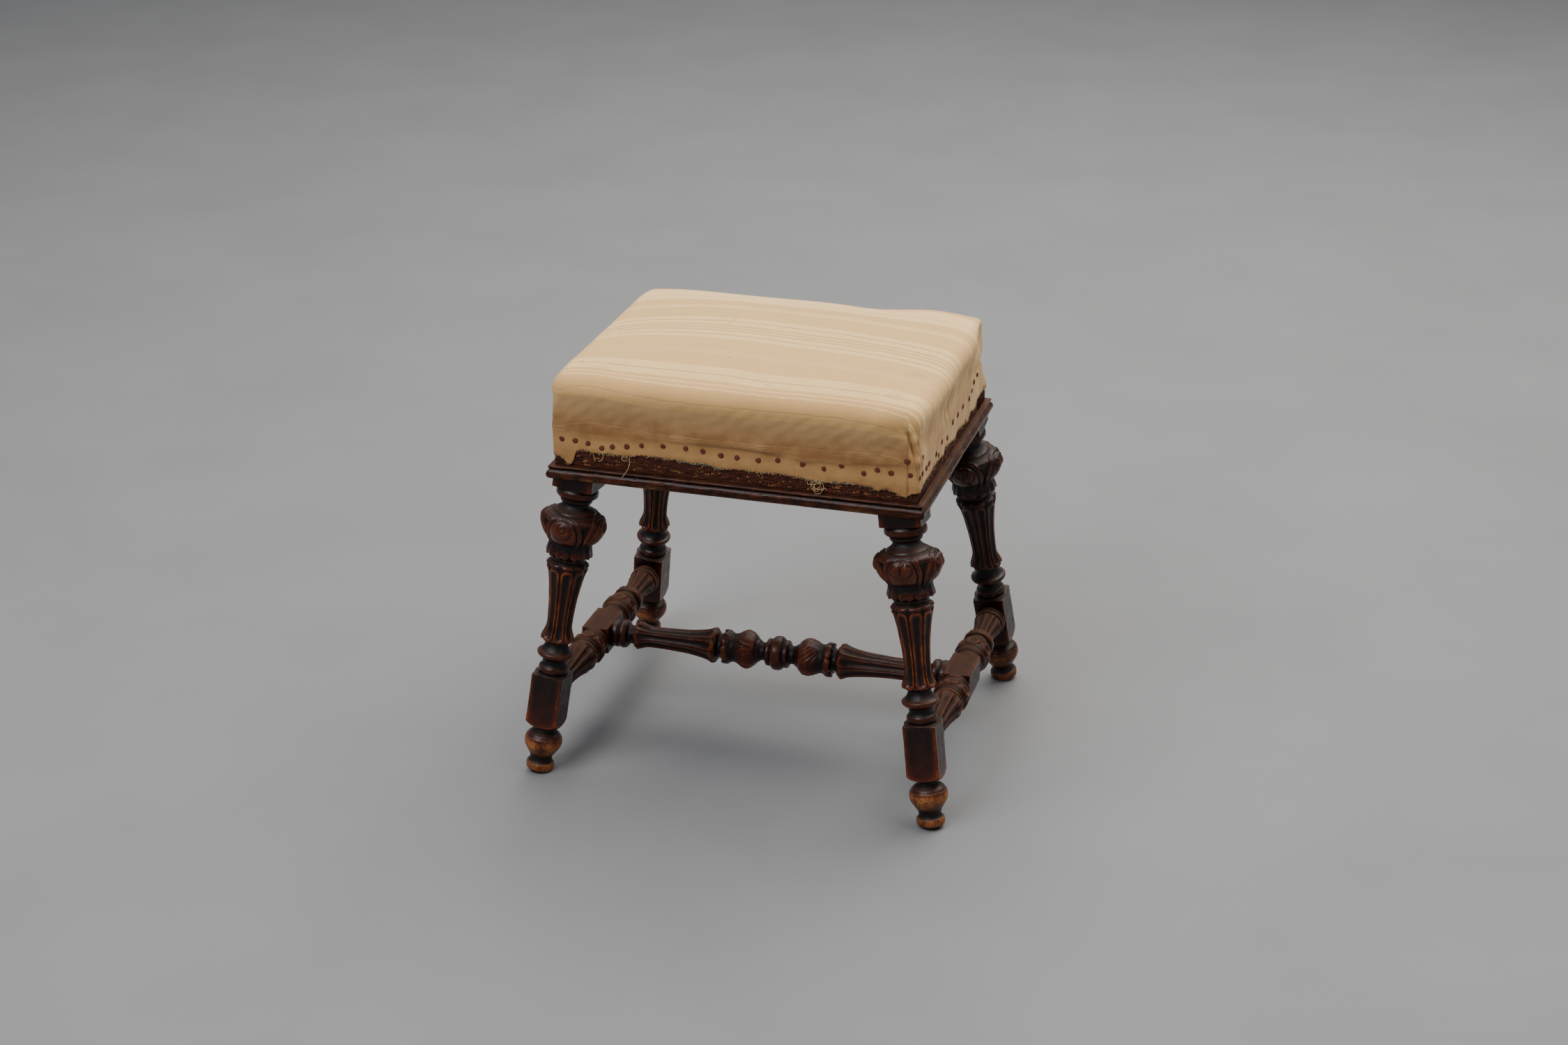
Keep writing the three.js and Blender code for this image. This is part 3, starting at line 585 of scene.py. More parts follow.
@dataclass(frozen=True)
class StripedTicking:
    """Twilled cotton ticking, faded, soiled and darkened by painted shade on its sides, with woven groups of pale bands
    and fine lines.

    Each stripe is the place in millimetres where it starts, counted from the seat's middle towards
    the back, and the name of its colour. They are split over several colour ramps, because a ramp
    has 256 steps and one over the whole cloth would swallow the fine lines. Each mark is a stain's
    place, its two half widths and how dark it is. Threads are too fine to show and are drawn about twice as coarse as
    they are.
    """

    cream: str = "f6d393"
    pale: str = "f2cc89"
    ground: str = "daaf6e"
    tan: str = "d2a667"
    deep: str = "c39e6c"
    line: str = "b58c5a"
    # Colour multiplied in by the cloth's soil value: part real soil, part painted shade that darkens the sides lower
    # down and under the fold above the tacks.
    soil_and_shade: str = "b19d8a"
    stain: str = "7d5230"
    thread: float = 1.2
    twill_length: float = 2.5
    slub_length: float = 26.0
    blot_size: float = 26.0
    fleck_size: float = 5.0
    last: float = 260.0
    ramp_stops: int = 9
    stripes: tuple[tuple[float, str], ...] = (
        (-260.0, "tan"), (-223.0, "pale"), (-222.2, "deep"), (-220.6, "pale"), (-219.8, "deep"),
        (-218.2, "pale"), (-217.4, "deep"), (-185.6, "ground"), (-175.8, "line"), (-174.2, "tan"),
        (-157.2, "pale"), (-155.0, "tan"), (-149.2, "pale"), (-147.0, "tan"), (-141.0, "pale"),
        (-128.0, "line"), (-126.2, "pale"), (-110.0, "ground"), (-74.0, "pale"), (-72.4, "ground"),
        (-67.6, "pale"), (-66.0, "ground"), (-27.5, "pale"), (-16.2, "line"), (-14.0, "pale"), (-3.5, "tan"),
        (1.0, "pale"), (5.0, "tan"), (9.5, "pale"), (13.5, "tan"), (18.6, "pale"), (30.2, "line"), (32.4, "pale"),
        (44.0, "ground"), (79.0, "pale"), (85.0, "ground"), (87.0, "pale"), (90.0, "ground"), (110.0, "cream"),
        (123.8, "ground"), (125.8, "cream"), (150.0, "ground"), (173.0, "line"), (174.6, "pale"), (183.0, "deep"),
        (214.0, "pale"), (216.0, "tan"),
    )
    marks: tuple[tuple[float, float, float, float, float], ...] = (
        (-188, 8, 2.6, 2.6, 0.5), (-196, -8, 2.2, 2.6, 0.5), (-162, 88, 2.4, 2.4, 0.35), (98, 92, 2.4, 2.2, 0.35),
        (142, 42, 2.6, 2.6, 0.35), (121, 70, 2.2, 2.2, 0.3), (-30, -82, 1.8, 4.0, 0.45), (-170, -52, 2.2, 3.4, 0.4),
        (58, -20, 2.4, 2.4, 0.3), (-88, -15, 2.2, 2.2, 0.35), (-62, 30, 4.5, 36, 0.16), (-75, 30, 4.0, 16, 0.14),
        (-10, 80, 18, 26, 0.08), (176, -125, 14, 9, 0.2), (183, -50, 18, 12, 0.16), (-190, -125, 3.5, 4.5, 0.4),
        (33, -133, 2.4, 2.8, 0.35), (-160, -137, 13, 2.2, 0.3),
    )

    def make(self) -> bpy.types.Material:
        """The material.

        It reads the vector attribute cloth: across the stripes' length and along the front-to-back
        way in metres, and how soiled and shaded the place is from 0 to 1, part soil, part painted shade.
        """
        material, tree, shader = blank_material("striped_ticking", Roughness=0.88, Sheen_Weight=0.12)
        cloth = add(tree, "Attribute", attribute_name="cloth").outputs["Vector"]
        across, down, soiled_and_shaded = add(tree, "SeparateXYZ", {0: cloth}).outputs
        flat = add(tree, "CombineXYZ", {0: across, 1: down}).outputs[0]
        stretched = add(tree, "Mapping", {"Vector": flat, "Scale": (1 / self.slub_length, 1.0, 1.0)})
        slubs = noise(tree, stretched.outputs["Vector"], self.thread, 2.0)
        wander = product(tree, between(tree, noise(tree, flat, 9.0, 2.0), 0.2, 0.8, -1.0, 1.0), 0.7 * MM)
        wander = product(tree, wander, between(tree, slubs, 0.2, 0.8, -0.5 * MM, 0.5 * MM), "ADD")
        place = product(tree, down, wander, "ADD")
        starts = [start for start, _ in self.stripes] + [self.last]
        base = None
        for first in range(0, len(self.stripes), self.ramp_stops):
            after = min(first + self.ramp_stops, len(self.stripes))
            low, high = starts[first], starts[after]
            stops = [((start - low) / (high - low), getattr(self, key)) for start, key in self.stripes[first:after]]
            part = colour_ramp(tree, between(tree, place, low * MM, high * MM), stops, stepped=True)
            base = mixed(tree, product(tree, place, low * MM, "GREATER_THAN"), base, part) if base else part
        blots = noise(tree, flat, self.blot_size, 5.0)
        base = mixed(tree, between(tree, blots, 0.42, 0.72, 0.0, 0.22), base, self.tan)
        base = mixed(tree, between(tree, slubs, 0.3, 0.75, 0.0, 0.34), base, self.tan)
        turned = {"Vector": flat, "Rotation": (0, 0, math.radians(58)), "Scale": (1, self.twill_length, 1)}
        twill = add(tree, "Mapping", turned, vector_type="TEXTURE").outputs["Vector"]
        broken = noise(tree, twill, self.thread, 1.0)
        lines = {"Vector": twill, "Scale": math.pi / 10 / (self.thread * MM), "Distortion": 1.2, "Detail": 1.0}
        wave = add(tree, "TexWave", lines, bands_direction="X").outputs["Fac"]
        ribs = product(tree, product(tree, wave, 0.4), product(tree, broken, 0.6), "ADD")
        base = mixed(tree, between(tree, ribs, 0.42, 0.72, 0.0, 0.55), base, self.line)
        # Soil colour multiplied in: real soil and painted shade together, broken up by the blots.
        dirt_and_shade = product(tree, soiled_and_shaded, between(tree, blots, 0.3, 0.7, 0.66, 1.12))
        base = mixed(tree, dirt_and_shade, base, self.soil_and_shade, "MULTIPLY")
        marked = between(tree, noise(tree, flat, self.fleck_size, 1.0), 0.79, 0.83, 0.0, 0.35)
        for x, y, wide, tall, strength in self.marks:
            local = {"Vector": flat, "Location": (-x / wide, -y / tall, 0), "Scale": (1000 / wide, 1000 / tall, 1)}
            far = add(tree, "VectorMath", {0: add(tree, "Mapping", local).outputs["Vector"]}, operation="LENGTH")
            here = between(tree, far.outputs["Value"], 0.35, 1.0, strength, 0.0)
            marked = product(tree, marked, here, "MAXIMUM")
        base = mixed(tree, marked, base, self.stain)
        tree.links.new(base, shader.inputs["Base Color"])
        bumped(tree, shader, [(ribs, 0.16), (slubs, 0.14), (blots, 0.6)])
        return material


@dataclass(frozen=True)
class PaleFloor:
    """Plain pale floor, smooth and slightly uneven in tone."""

    light: str = "7f8081"
    shade: str = "7a7b7c"
    cloud: float = 260.0

    def make(self) -> bpy.types.Material:
        """The material."""
        material, tree, shader = blank_material("pale_floor", Roughness=0.7)
        place = add(tree, "TexCoord").outputs["Object"]
        clouds = noise(tree, place, self.cloud, 4.0)
        base = mixed(tree, between(tree, clouds, 0.3, 0.7), self.light, self.shade)
        tree.links.new(base, shader.inputs["Base Color"])
        return material


# Turned and carved wood


@dataclass
class Turning:
    """A turned and carved piece.

    Its surface is P(s, a) = origin + s axis + r(s, a) (cos a across + sin a deep), where r is the
    outline's radius at s, cut square where the piece is square, and then carved.
    """

    name: str
    origin: np.ndarray
    axis: np.ndarray
    across: np.ndarray
    outline: Pairs
    grooves: tuple[tuple[float, float], ...] = ()
    columns: int = 192
    rows: int = 400
    groove_half: float = 0.9
    arris_power: float = 34.0
    worn: float = 0.7

    def squares(self) -> tuple[tuple[float, float, float], ...]:
        """Start, end and half side of each square block along the axis."""
        return ()

    def carve(self, s: np.ndarray, angle: np.ndarray, radius: np.ndarray) -> tuple[np.ndarray, np.ndarray]:
        """How far the carving moves the surface out, and along the axis; nothing here."""
        return np.zeros_like(radius), np.zeros_like(radius)

    def warmth(self, s: np.ndarray) -> np.ndarray:
        """How brown the wood is along the axis, from 0, black, to 1; even here."""
        return np.full_like(s, 0.3)

    def rubbing(self, s: np.ndarray) -> np.ndarray:
        """How much hands and brooms have rubbed the arrises along the axis, from 0 to 1."""
        return np.full_like(s, 0.6)

    def bare(self, s: np.ndarray) -> np.ndarray:
        """How far the finish is worn off all round at a place along the axis; nowhere here."""
        return np.zeros_like(s)

    def row_places(self) -> np.ndarray:
        """Places of the rows along the axis, evenly spaced along the outline's own length."""
        low, high = self.outline[0][0], self.outline[-1][0]
        fine = np.linspace(low, high, 6000)
        radius = smooth_curve(self.outline, fine)
        reach = np.concatenate([[0], np.cumsum(np.hypot(np.diff(fine), np.diff(radius)))])
        return np.interp(np.linspace(0, reach[-1], self.rows), reach, fine)

    def surface(self) -> tuple[np.ndarray, dict[str, np.ndarray]]:
        """The grid of points and the grids of wear, grime and warm."""
        places = self.row_places()
        angles = np.arange(self.columns) * 2 * np.pi / self.columns
        s, angle = np.meshgrid(places, angles, indexing="ij")
        radius = smooth_curve(self.outline, s)
        for place, depth in self.grooves:
            radius = radius - depth * hump(s, place, self.groove_half)
        for start, end, half in self.squares():
            power = self.arris_power
            square = half / (np.abs(np.cos(angle)) ** power + np.abs(np.sin(angle)) ** power) ** (1 / power)
            radius = np.where((s >= start) & (s <= end), np.minimum(radius, square), radius)
        out, shift = self.carve(s, angle, radius)
        radius = radius + out
        crest = radius - softened(radius, 2, True)
        ridge = radius - softened(radius, 5, True)
        patchy = np.clip(0.62 + 0.6 * ripple(s, 24 * angle, 46, 17), 0.15, 1)
        values = {
            "wear": np.clip(
                np.clip(crest / 0.22 + ridge / 1.2 - 0.6, 0, 1.2) * self.rubbing(s) * patchy * self.worn, 0, 1,
            ),
            "bare": np.clip(self.bare(s) * (0.4 + 0.6 * patchy) * self.worn, 0, 1),
            "grime": np.clip(-ridge / 0.9, 0, 0.85),
            "warm": np.clip(self.worn * (self.warmth(s) + 0.35 * np.clip(ridge, -1, 1)), 0, 1),
        }
        deep = np.cross(self.axis, self.across)
        points = (
            self.origin + (s + shift)[..., None] * self.axis
            + radius[..., None] * (np.cos(angle)[..., None] * self.across + np.sin(angle)[..., None] * deep)
        )
        return points, values


def flutes(
    s: np.ndarray, angle: np.ndarray, radius: np.ndarray, foot: float, head: float, count: int = 8,
    channel: float = 1.7, gap: float = 1.8, rim: float = 0.58,
) -> np.ndarray:
    """Carving of a shaft into framed flutes with round ends.

    With x the distance round from a flute's middle, w half its share of the girth and y the way
    past the centre of its round end, q = hypot(x, y) / w. The wood sinks in a channel by
    1 - (q / rim)², stands in a border up to q = 0.86 and falls away outside.

    Args:
        s: Places along the axis.
        angle: Angles round it.
        radius: Radii before carving.
        foot: Where the flutes start.
        head: Where they end.
        count: Flutes in the round.
        channel: Depth of the channel.
        gap: Depth between the borders.
        rim: Where the channel ends.

    Returns:
        The change in radius.
    """
    sector = 2 * np.pi / count
    x = ((angle / sector) % 1 - 0.5) * sector * radius
    half = sector / 2 * radius
    low, high = foot + half, head - half
    y = np.where(s > high, s - high, np.where(s < low, low - s, 0.0))
    q = np.hypot(x, y) / half
    inside = ramp(s, foot - 2.5, foot) * (1 - ramp(s, head, head + 2.5))
    sunk = channel * np.clip(1 - (q / rim) ** 2, 0, 1) ** 0.7
    away = gap * ramp(q, 0.84, 1.04)
    return -(sunk + away) * inside


def ovals(
    s: np.ndarray, angle: np.ndarray, radius: np.ndarray, middle: float, half_length: float, count: int,
    depth: float = 1.6,
) -> np.ndarray:
    """Carving of a ball into framed ovals: a boss, a sunk ring round it, a raised frame, and ground.

    q = hypot(x / w, y / h) is 0 at an oval's middle and 1 at its frame. The middle is sunk.
    """
    sector = 2 * np.pi / count
    x = ((angle / sector) % 1 - 0.5) * sector * radius
    q = np.hypot(x / (sector / 2 * radius * 0.92), (s - middle) / half_length)
    near = 1 - ramp(np.abs(s - middle), half_length * 1.25, half_length * 1.6)
    borders = hump(np.abs(s - middle), half_length * 1.32, 1.5)
    sunk = 1.15 * (1 - ramp(q, 0.3, 0.62)) + 0.8 * ramp(q, 0.86, 1.04) - 0.3 * hump(q, 0.0, 0.3)
    return -depth * near * sunk - 0.5 * depth * borders


def bosses(up: np.ndarray, angle: np.ndarray, radius: np.ndarray, size: float, eyes: int) -> np.ndarray:
    """Relief of four egg bosses round a bulb, each in a horseshoe border.

    With x round from a face's middle and y up from the boss's middle, both over the size, F is
    hypot(x, y) above and |x| / w(y) below, where w narrows downwards. Ridges stand at F = 1 and
    0.87 with a groove inside, the boss is a dome inside 0.76, and the wood outside them falls away.
    One eye is a ring round a pit beside a hooked line; two are a pair of volutes with a cleft between.

    Args:
        up: Way along the surface from the boss's middle, towards the arch.
        angle: Angles round it.
        radius: Radii before carving.
        size: Half width of a border at the boss.
        eyes: How many carved eyes each boss has.

    Returns:
        How far the surface moves out.
    """
    quarter = np.pi / 2
    turn = ((angle / quarter + 0.5) % 1 - 0.5) * quarter
    x, y = turn * radius / size, up / size
    width = smooth_curve(((-1.25, 0.66), (-0.8, 0.76), (-0.35, 0.94), (0, 1.0)), y)
    far = np.where(y > 0, np.hypot(x, y), np.abs(x) / width)
    border = 0.06 * hump(far, 1.0, 0.07) + 0.06 * hump(far, 0.87, 0.06) - 0.06 * hump(far, 0.78, 0.06)
    ground = -0.12 * ramp(far, 1.04, 1.16) * (1 - ramp(y, 0.3, 0.8))
    dome = 0.15 * np.sqrt(np.clip(1 - (far / 0.76) ** 2, 0, 1)) * ramp(y, -1.05, -0.4)
    if eyes == 1:
        away = np.hypot(x, y - 0.34)
        marks = 0.04 * hump(away, 0.12, 0.05) - 0.06 * hump(away, 0.2, 0.05) - 0.08 * hump(away, 0.0, 0.07)
        marks -= 0.07 * hump(np.hypot(x, y - 0.2), 0.48, 0.07) * ramp(x, 0.1, 0.3)
    else:
        curl = np.hypot(np.abs(x) - 0.3, y - 0.2)
        marks = 0.06 * hump(curl, 0.0, 0.3) - 0.08 * hump(curl, 0.25, 0.06) * ramp(np.abs(x), 0.24, 0.42)
        marks += 0.03 * np.sin(x * 19 + 1) * hump(y, 0.5, 0.14) - 0.07 * hump(x, 0.0, 0.09) * ramp(y, 0, 0.2)
    return size * (border + ground + dome + marks * (far < 0.72))


def leaf_lobes(angle: np.ndarray, count: int) -> np.ndarray:
    """Round lobes, each hollow like a spoon, with a deep groove between, from -1 to 1."""
    lobe = np.abs(np.cos(count * angle / 2))
    return 1.9 * lobe**0.6 - 0.95 - 0.75 * ramp(lobe, 0.78, 1.0)


@dataclass
class Leg(Turning):
    """A leg from the floor to the boards, with its carved bulb, fluted shaft and square blocks."""

    block: tuple[float, float, float] = (59.5, 124.5, 19.0)
    top_block: tuple[float, float, float] = (356.5, 390.0, 24.0)
    shaft: tuple[float, float] = (166.2, 259.0)
    rim: tuple[float, float] = (273.6, 284.0)
    boss_place: float = 306.5
    boss_size: float = 22.6
    eyes: int = 1
    bulb_end: float = 325.5
    ceiling: float = 365.86

    def squares(self) -> tuple[tuple[float, float, float], ...]:
        """The lower block and the block under the boards."""
        return self.block, self.top_block

    def bulb(self, s: np.ndarray, angle: np.ndarray, radius: np.ndarray) -> tuple[np.ndarray, np.ndarray]:
        """The four bosses between the leaf rim and the neck, with a hollow on each diagonal.

        The relief is laid out by the way along the outline and moves the surface square to it.
        """
        line = self.row_places()
        profile = smooth_curve(self.outline, line)
        reach = np.concatenate([[0], np.cumsum(np.hypot(np.diff(line), np.diff(profile)))])
        up = np.interp(s, line, reach) - np.interp(self.boss_place, line, reach)
        slope = np.interp(s, line, np.gradient(profile, line))
        near = ramp(s, self.rim[1] - 1, self.rim[1] + 8) * (1 - ramp(s, self.bulb_end - 0.8, self.bulb_end + 0.4))
        relief = near * bosses(up, angle, radius, self.boss_size, self.eyes)
        relief = relief - 1.3 * np.abs(np.sin(2 * angle)) ** 4 * hump(s, 309, 19)
        lean = np.hypot(1, slope)
        return relief / lean, -relief * slope / lean

    def leaves(self, s: np.ndarray, angle: np.ndarray) -> tuple[np.ndarray, np.ndarray]:
        """The leaf rim: eight lobes whose tips curl out and hang over the collar."""
        near = ramp(s, self.rim[0] - 0.6, self.rim[0] + 1.2) * (1 - ramp(s, self.rim[1], self.rim[1] + 8))
        lobes = leaf_lobes(angle, 8)
        tips = 1 - ramp(s, self.rim[0] + 2, self.rim[1] + 4)
        return near * (1.0 + 0.9 * tips) * lobes, -near * tips * 2.4 * lobes

    def carve(self, s: np.ndarray, angle: np.ndarray, radius: np.ndarray) -> tuple[np.ndarray, np.ndarray]:
        """Flutes on the shaft under a scalloped cap, leaves over the collar and bosses on the bulb."""
        out = flutes(s, angle, radius, self.shaft[0], self.shaft[1], 8, 2.0, 2.2)
        scallops = 2.9 * np.abs(np.sin(4 * angle)) ** 0.6 - 2.3
        cap = ramp(s, 256, 259) * (1 - ramp(s, 263.8, 264.8))
        rim_out, rim_shift = self.leaves(s, angle)
        bulb_out, bulb_shift = self.bulb(s, angle, radius)
        worn = 0.22 * ripple(s, 20 * angle, 30, 5) * ramp(s, 0, 20)
        return out + cap * scallops + rim_out + bulb_out + worn, rim_shift + bulb_shift

    def warmth(self, s: np.ndarray) -> np.ndarray:
        """Brown on the foot, the lower block's bottom, the flutes and the bulb, black between."""
        knots = (
            (0, 0.9), (14, 0.5), (26, 0.8), (40, 0.9), (47, 0.2), (56, 0.1), (62, 0.9), (80, 0.5), (118, 0.1),
            (126, 0.1), (150, 0.2), (165, 0.1), (200, 0.4), (255, 0.25), (270, 0.05), (288, 0.05), (297, 0.7),
            (306, 0.6), (314, 0.15), (322, 0.1), (330, 0.3), (337, 0.3), (345, 0.1), (372, 0.1),
        )
        return smooth_curve(knots, s)

    def rubbing(self, s: np.ndarray) -> np.ndarray:
        """Most on the foot, the flutes and the bosses, hardly at all on the rings between."""
        knots = (
            (0, 0.5), (12, 0.5), (16, 0.2), (26, 0.6), (42, 0.6), (47, 0.15), (58, 0.1), (62, 0.7), (80, 0.45),
            (118, 0.35), (124, 0.1), (144, 0.05), (148, 0.22), (152, 0.12), (156, 0.03), (164, 0.05),
            (168, 0.35), (180, 0.8), (230, 0.75), (246, 0.7), (256, 1.0), (261, 0.15), (270, 0.05), (274, 0.25),
            (279, 0.06), (290, 0.1), (300, 0.7), (312, 0.5), (320, 0.05), (355, 0.05), (360, 0.15), (372, 0.1),
        )
        return smooth_curve(knots, s)

    def bare(self, s: np.ndarray) -> np.ndarray:
        """Worn through on the ball foot and its pad."""
        return smooth_curve(((0, 0.5), (10, 0.7), (14, 0.1), (20, 0.1), (26, 0.9), (37, 1.4), (42, 0.5), (47, 0.0), (372, 0.0)), s)

    def surface(self) -> tuple[np.ndarray, dict[str, np.ndarray]]:
        """The leg's surface, cut level at the floor and under the boards."""
        points, values = super().surface()
        points[..., 2] = np.clip(points[..., 2], 0, self.ceiling)
        return points, values


LEG_OUTLINE: Pairs = (
    (-4, 10), (2.2, 10.3), (2.7, 14.9), (5, 16.2), (9, 16.5), (11.6, 15.6), (13, 13.7), (16.6, 12.7),
    (19.5, 13.3), (24, 15.9), (29, 19.1), (33.5, 21.4), (38.2, 22.2), (43, 21.6), (47, 19.2), (50.2, 15.4),
    (52.6, 12), (55.4, 11.3), (57.6, 12.2), (59.3, 13.6), (59.7, 19.6), (61.6, 23), (64, 25.4), (67, 27.4),
    (122.6, 27.4), (123.9, 26.4), (124.4, 24), (124.7, 16.2), (128, 17.1), (131.6, 17.3), (134, 16.5),
    (136, 14.5), (139.6, 13.7), (143, 14.6), (146.2, 18.8), (148.6, 21), (150.5, 21.4), (152.2, 20.8),
    (153.4, 18.4), (156, 16), (160, 13.8), (163.6, 12.9), (165.8, 13.2), (166.4, 19), (168.8, 19.7),
    (172, 18.9), (177, 17), (182, 15.6), (187, 15.1), (196, 15.3), (206, 15.9), (218, 16.9), (230, 18.3),
    (243, 20.3), (252, 22.1), (258, 24), (261, 24.4), (263.6, 23.2), (265, 20.8), (265.5, 18.8),
    (268.8, 20.1), (271.6, 19.2), (272.7, 17.6), (273.4, 17.6), (274.4, 24.6), (277.5, 26.2), (281, 25.8),
    (285, 24.9), (289, 25), (294, 27.6), (300, 31.4), (306, 34.4), (311, 36), (316, 36.4), (320, 35), (323, 31.8),
    (324.9, 27.8), (325.8, 25), (326.4, 24.4), (327.4, 24), (328.6, 22), (331, 18.6), (334.6, 16),
    (337.4, 15.6), (338.3, 17.8), (340.4, 18.7), (342.4, 18.2), (343, 19.4), (345.4, 23), (347.8, 24.2),
    (351, 24.2), (353.4, 23.2), (355.8, 21.8), (356.4, 21.8), (356.8, 28), (357.3, 33), (358.6, 34.2), (378, 34.2),
)


@dataclass
class SideStretcher(Turning):
    """A side stretcher between two legs' lower blocks, turned each side of a square block."""

    block_half_length: float = 28.5
    block_half_side: float = 16.5
    columns: int = 168
    rows: int = 300

    def squares(self) -> tuple[tuple[float, float, float], ...]:
        """The middle block."""
        return ((-self.block_half_length, self.block_half_length, self.block_half_side),)

    def carve(self, s: np.ndarray, angle: np.ndarray, radius: np.ndarray) -> tuple[np.ndarray, np.ndarray]:
        """Ovals on both balls, a scalloped ring, and flutes on both trumpets."""
        out = ovals(s, angle, radius, 59.0, 9.0, 6, 1.7) + ovals(s, angle, radius, -50.5, 6.6, 6, 1.6)
        out += flutes(s, angle, radius, 98.5, 144.0, 11, 1.7, 0.4, 0.8)
        out += flutes(-s, angle, radius, 72.5, 138.0, 11, 1.8, 0.4, 0.8)
        out += 0.9 * hump(s, 93.0, 4.5) * (np.abs(np.cos(6 * angle)) - 0.6)
        worn = 0.2 * ripple(s, 18 * angle, 26, 8)
        return out + worn, np.zeros_like(s)

    def warmth(self, s: np.ndarray) -> np.ndarray:
        """Brown on the block, the balls and the flutes."""
        knots = (
            (-160, 0.1), (-110, 0.3), (-80, 0.4), (-50, 0.45), (-36, 0.15), (-20, 0.45), (20, 0.45), (36, 0.15),
            (60, 0.5), (84, 0.15), (110, 0.35), (140, 0.35), (160, 0.15),
        )
        return smooth_curve(knots, s)


SIDE_OUTLINE: Pairs = (
    (-161.6, 15.8), (-154, 16), (-150.6, 14.8), (-148, 12.6), (-145.6, 12.8), (-142.6, 14), (-139.8, 13),
    (-133, 11.6), (-120, 12.4), (-106, 14), (-96, 15.8), (-88, 17.5), (-81, 19.6), (-76.6, 20), (-73, 19),
    (-71.6, 15.8), (-70.2, 16), (-69, 18.2), (-66.4, 18.4), (-64.6, 16.8), (-62.6, 17.2), (-59, 19.8),
    (-54, 21.4), (-50, 21.5), (-45, 20.6), (-41, 18.2), (-39.4, 16.4), (-38.2, 17.2), (-36.4, 17.6), (-34.8, 16.2),
    (-33.4, 17.6), (-30.4, 17.8), (-28.9, 16.6), (-28.3, 17.4), (-26.5, 23.4), (26.5, 23.4), (28.3, 17.4),
    (28.9, 16.4), (30.6, 17.5), (32.2, 17.3), (33.2, 16.2), (34.4, 17.4), (36.2, 17.2), (37.2, 15.8),
    (40, 17.2), (46, 19.8), (53, 21.3), (59.5, 21.7), (66, 21), (72, 19.4), (78, 17), (81.6, 15.4),
    (83.2, 15.2), (84.8, 17.6), (88, 18.7), (92, 18.8), (94.4, 17.6), (95.6, 13.6), (99.4, 12.7), (108, 13.1),
    (122, 14.2), (132, 15.6), (139, 17.2), (142, 17.2), (143.6, 15.6), (145.4, 17.4), (147.8, 18.2),
    (150, 17.4), (151.3, 16.2), (152.8, 17.6), (155.6, 18.2), (158.4, 17.6), (161.6, 17.2),
)


@dataclass
class CentreStretcher(Turning):
    """The centre stretcher, alike each side of the bead in its middle."""

    columns: int = 160
    rows: int = 520

    def carve(self, s: np.ndarray, angle: np.ndarray, radius: np.ndarray) -> tuple[np.ndarray, np.ndarray]:
        """Flutes on the trumpets, leaf rims beside them, and leaves or ribs on the vases' four faces."""
        way = np.abs(s)
        out = flutes(way, angle, radius, 76.5, 181.5, 8, 1.8, 1.5, 0.62)
        near = ramp(way, 24.5, 28) * (1 - ramp(way, 57, 61))
        turned = angle - 2.55
        quarter = ((turned / (np.pi / 2) + 0.5) % 1 - 0.5) * np.pi / 2 * radius
        inside = near * (1 - ramp(np.hypot(quarter, (way - 41) * 0.9), 8, 10.5))
        bowed = np.abs(quarter) - 0.035 * (way - 36) ** 2
        leaf = 1.7 * hump(bowed, 2.8, 2.2) * hump(way, 40, 12) - 1.0 * hump(bowed, 0.0, 0.9)
        ribs = 0.8 * np.sin(0.95 * (quarter + 0.03 * (way - 26) ** 2))
        out += inside * np.where(s < 0, leaf, ribs) - 0.9 * near * np.abs(np.sin(2 * turned)) ** 6
        rim = ramp(way, 58, 62) * (1 - ramp(way, 67.5, 69))
        lobes = leaf_lobes(angle, 6)
        shift = np.sign(s) * rim * ramp(way, 62, 66) * 2.2 * lobes
        return out + 0.9 * rim * lobes + 0.2 * ripple(s, 18 * angle, 26, 11), shift

    def warmth(self, s: np.ndarray) -> np.ndarray:
        """Browner on the bead, the scrolls and the flutes' middles."""
        knots = (
            (0, 0.25), (8, 0.2), (12, 0.1), (20, 0.1), (36, 0.9), (44, 0.7), (56, 0.2), (72, 0.1), (84, 0.4), (130, 0.45),
            (180, 0.3), (190, 0.1), (210, 0.15),
        )
        return smooth_curve(knots, np.abs(s))

    def rubbing(self, s: np.ndarray) -> np.ndarray:
        """Most on the bead and the flutes' heads."""
        knots = (
            (0, 0.25), (8, 0.2), (12, 0.15), (20, 0.05), (30, 0.9), (44, 0.9), (56, 0.4), (66, 0.4), (72, 0.1), (78, 0.6),
            (140, 0.35), (180, 0.5), (188, 0.1), (206, 0.3),
        )
        return smooth_curve(knots, np.abs(s))


CENTRE_HALF: Pairs = (
    (0, 20.9), (3, 20.6), (5.6, 19.2), (7.4, 16.8), (8.4, 15.8), (9.4, 16.8), (12.4, 16.8), (13.4, 16),
    (14.6, 12.4), (18, 11), (21, 11.4), (24, 13.8), (25.4, 14.4), (28, 17.8), (32.4, 21), (38.8, 22.4),
    (45, 20.9), (51, 18.6), (55.6, 17.5), (59.4, 18.6), (63.8, 20.9), (66.6, 20.4), (68.2, 18), (69, 13.6),
    (71.4, 12.7), (74.6, 13), (75.8, 18.6), (78, 20.6), (81.4, 22), (85, 20.6), (91, 18.6), (99, 17), (112, 15.2),
    (128, 14.1), (148, 13.3), (162, 13.3), (170, 14.8), (178.6, 17.2), (181, 16.6), (182.2, 12.6),
    (187.6, 11.2), (190.4, 11.6), (191.8, 15), (194, 17), (197.4, 17.6), (200.4, 16.6), (201.6, 15.6),
    (202.8, 17), (206.4, 17.4), (211, 17.2),
)


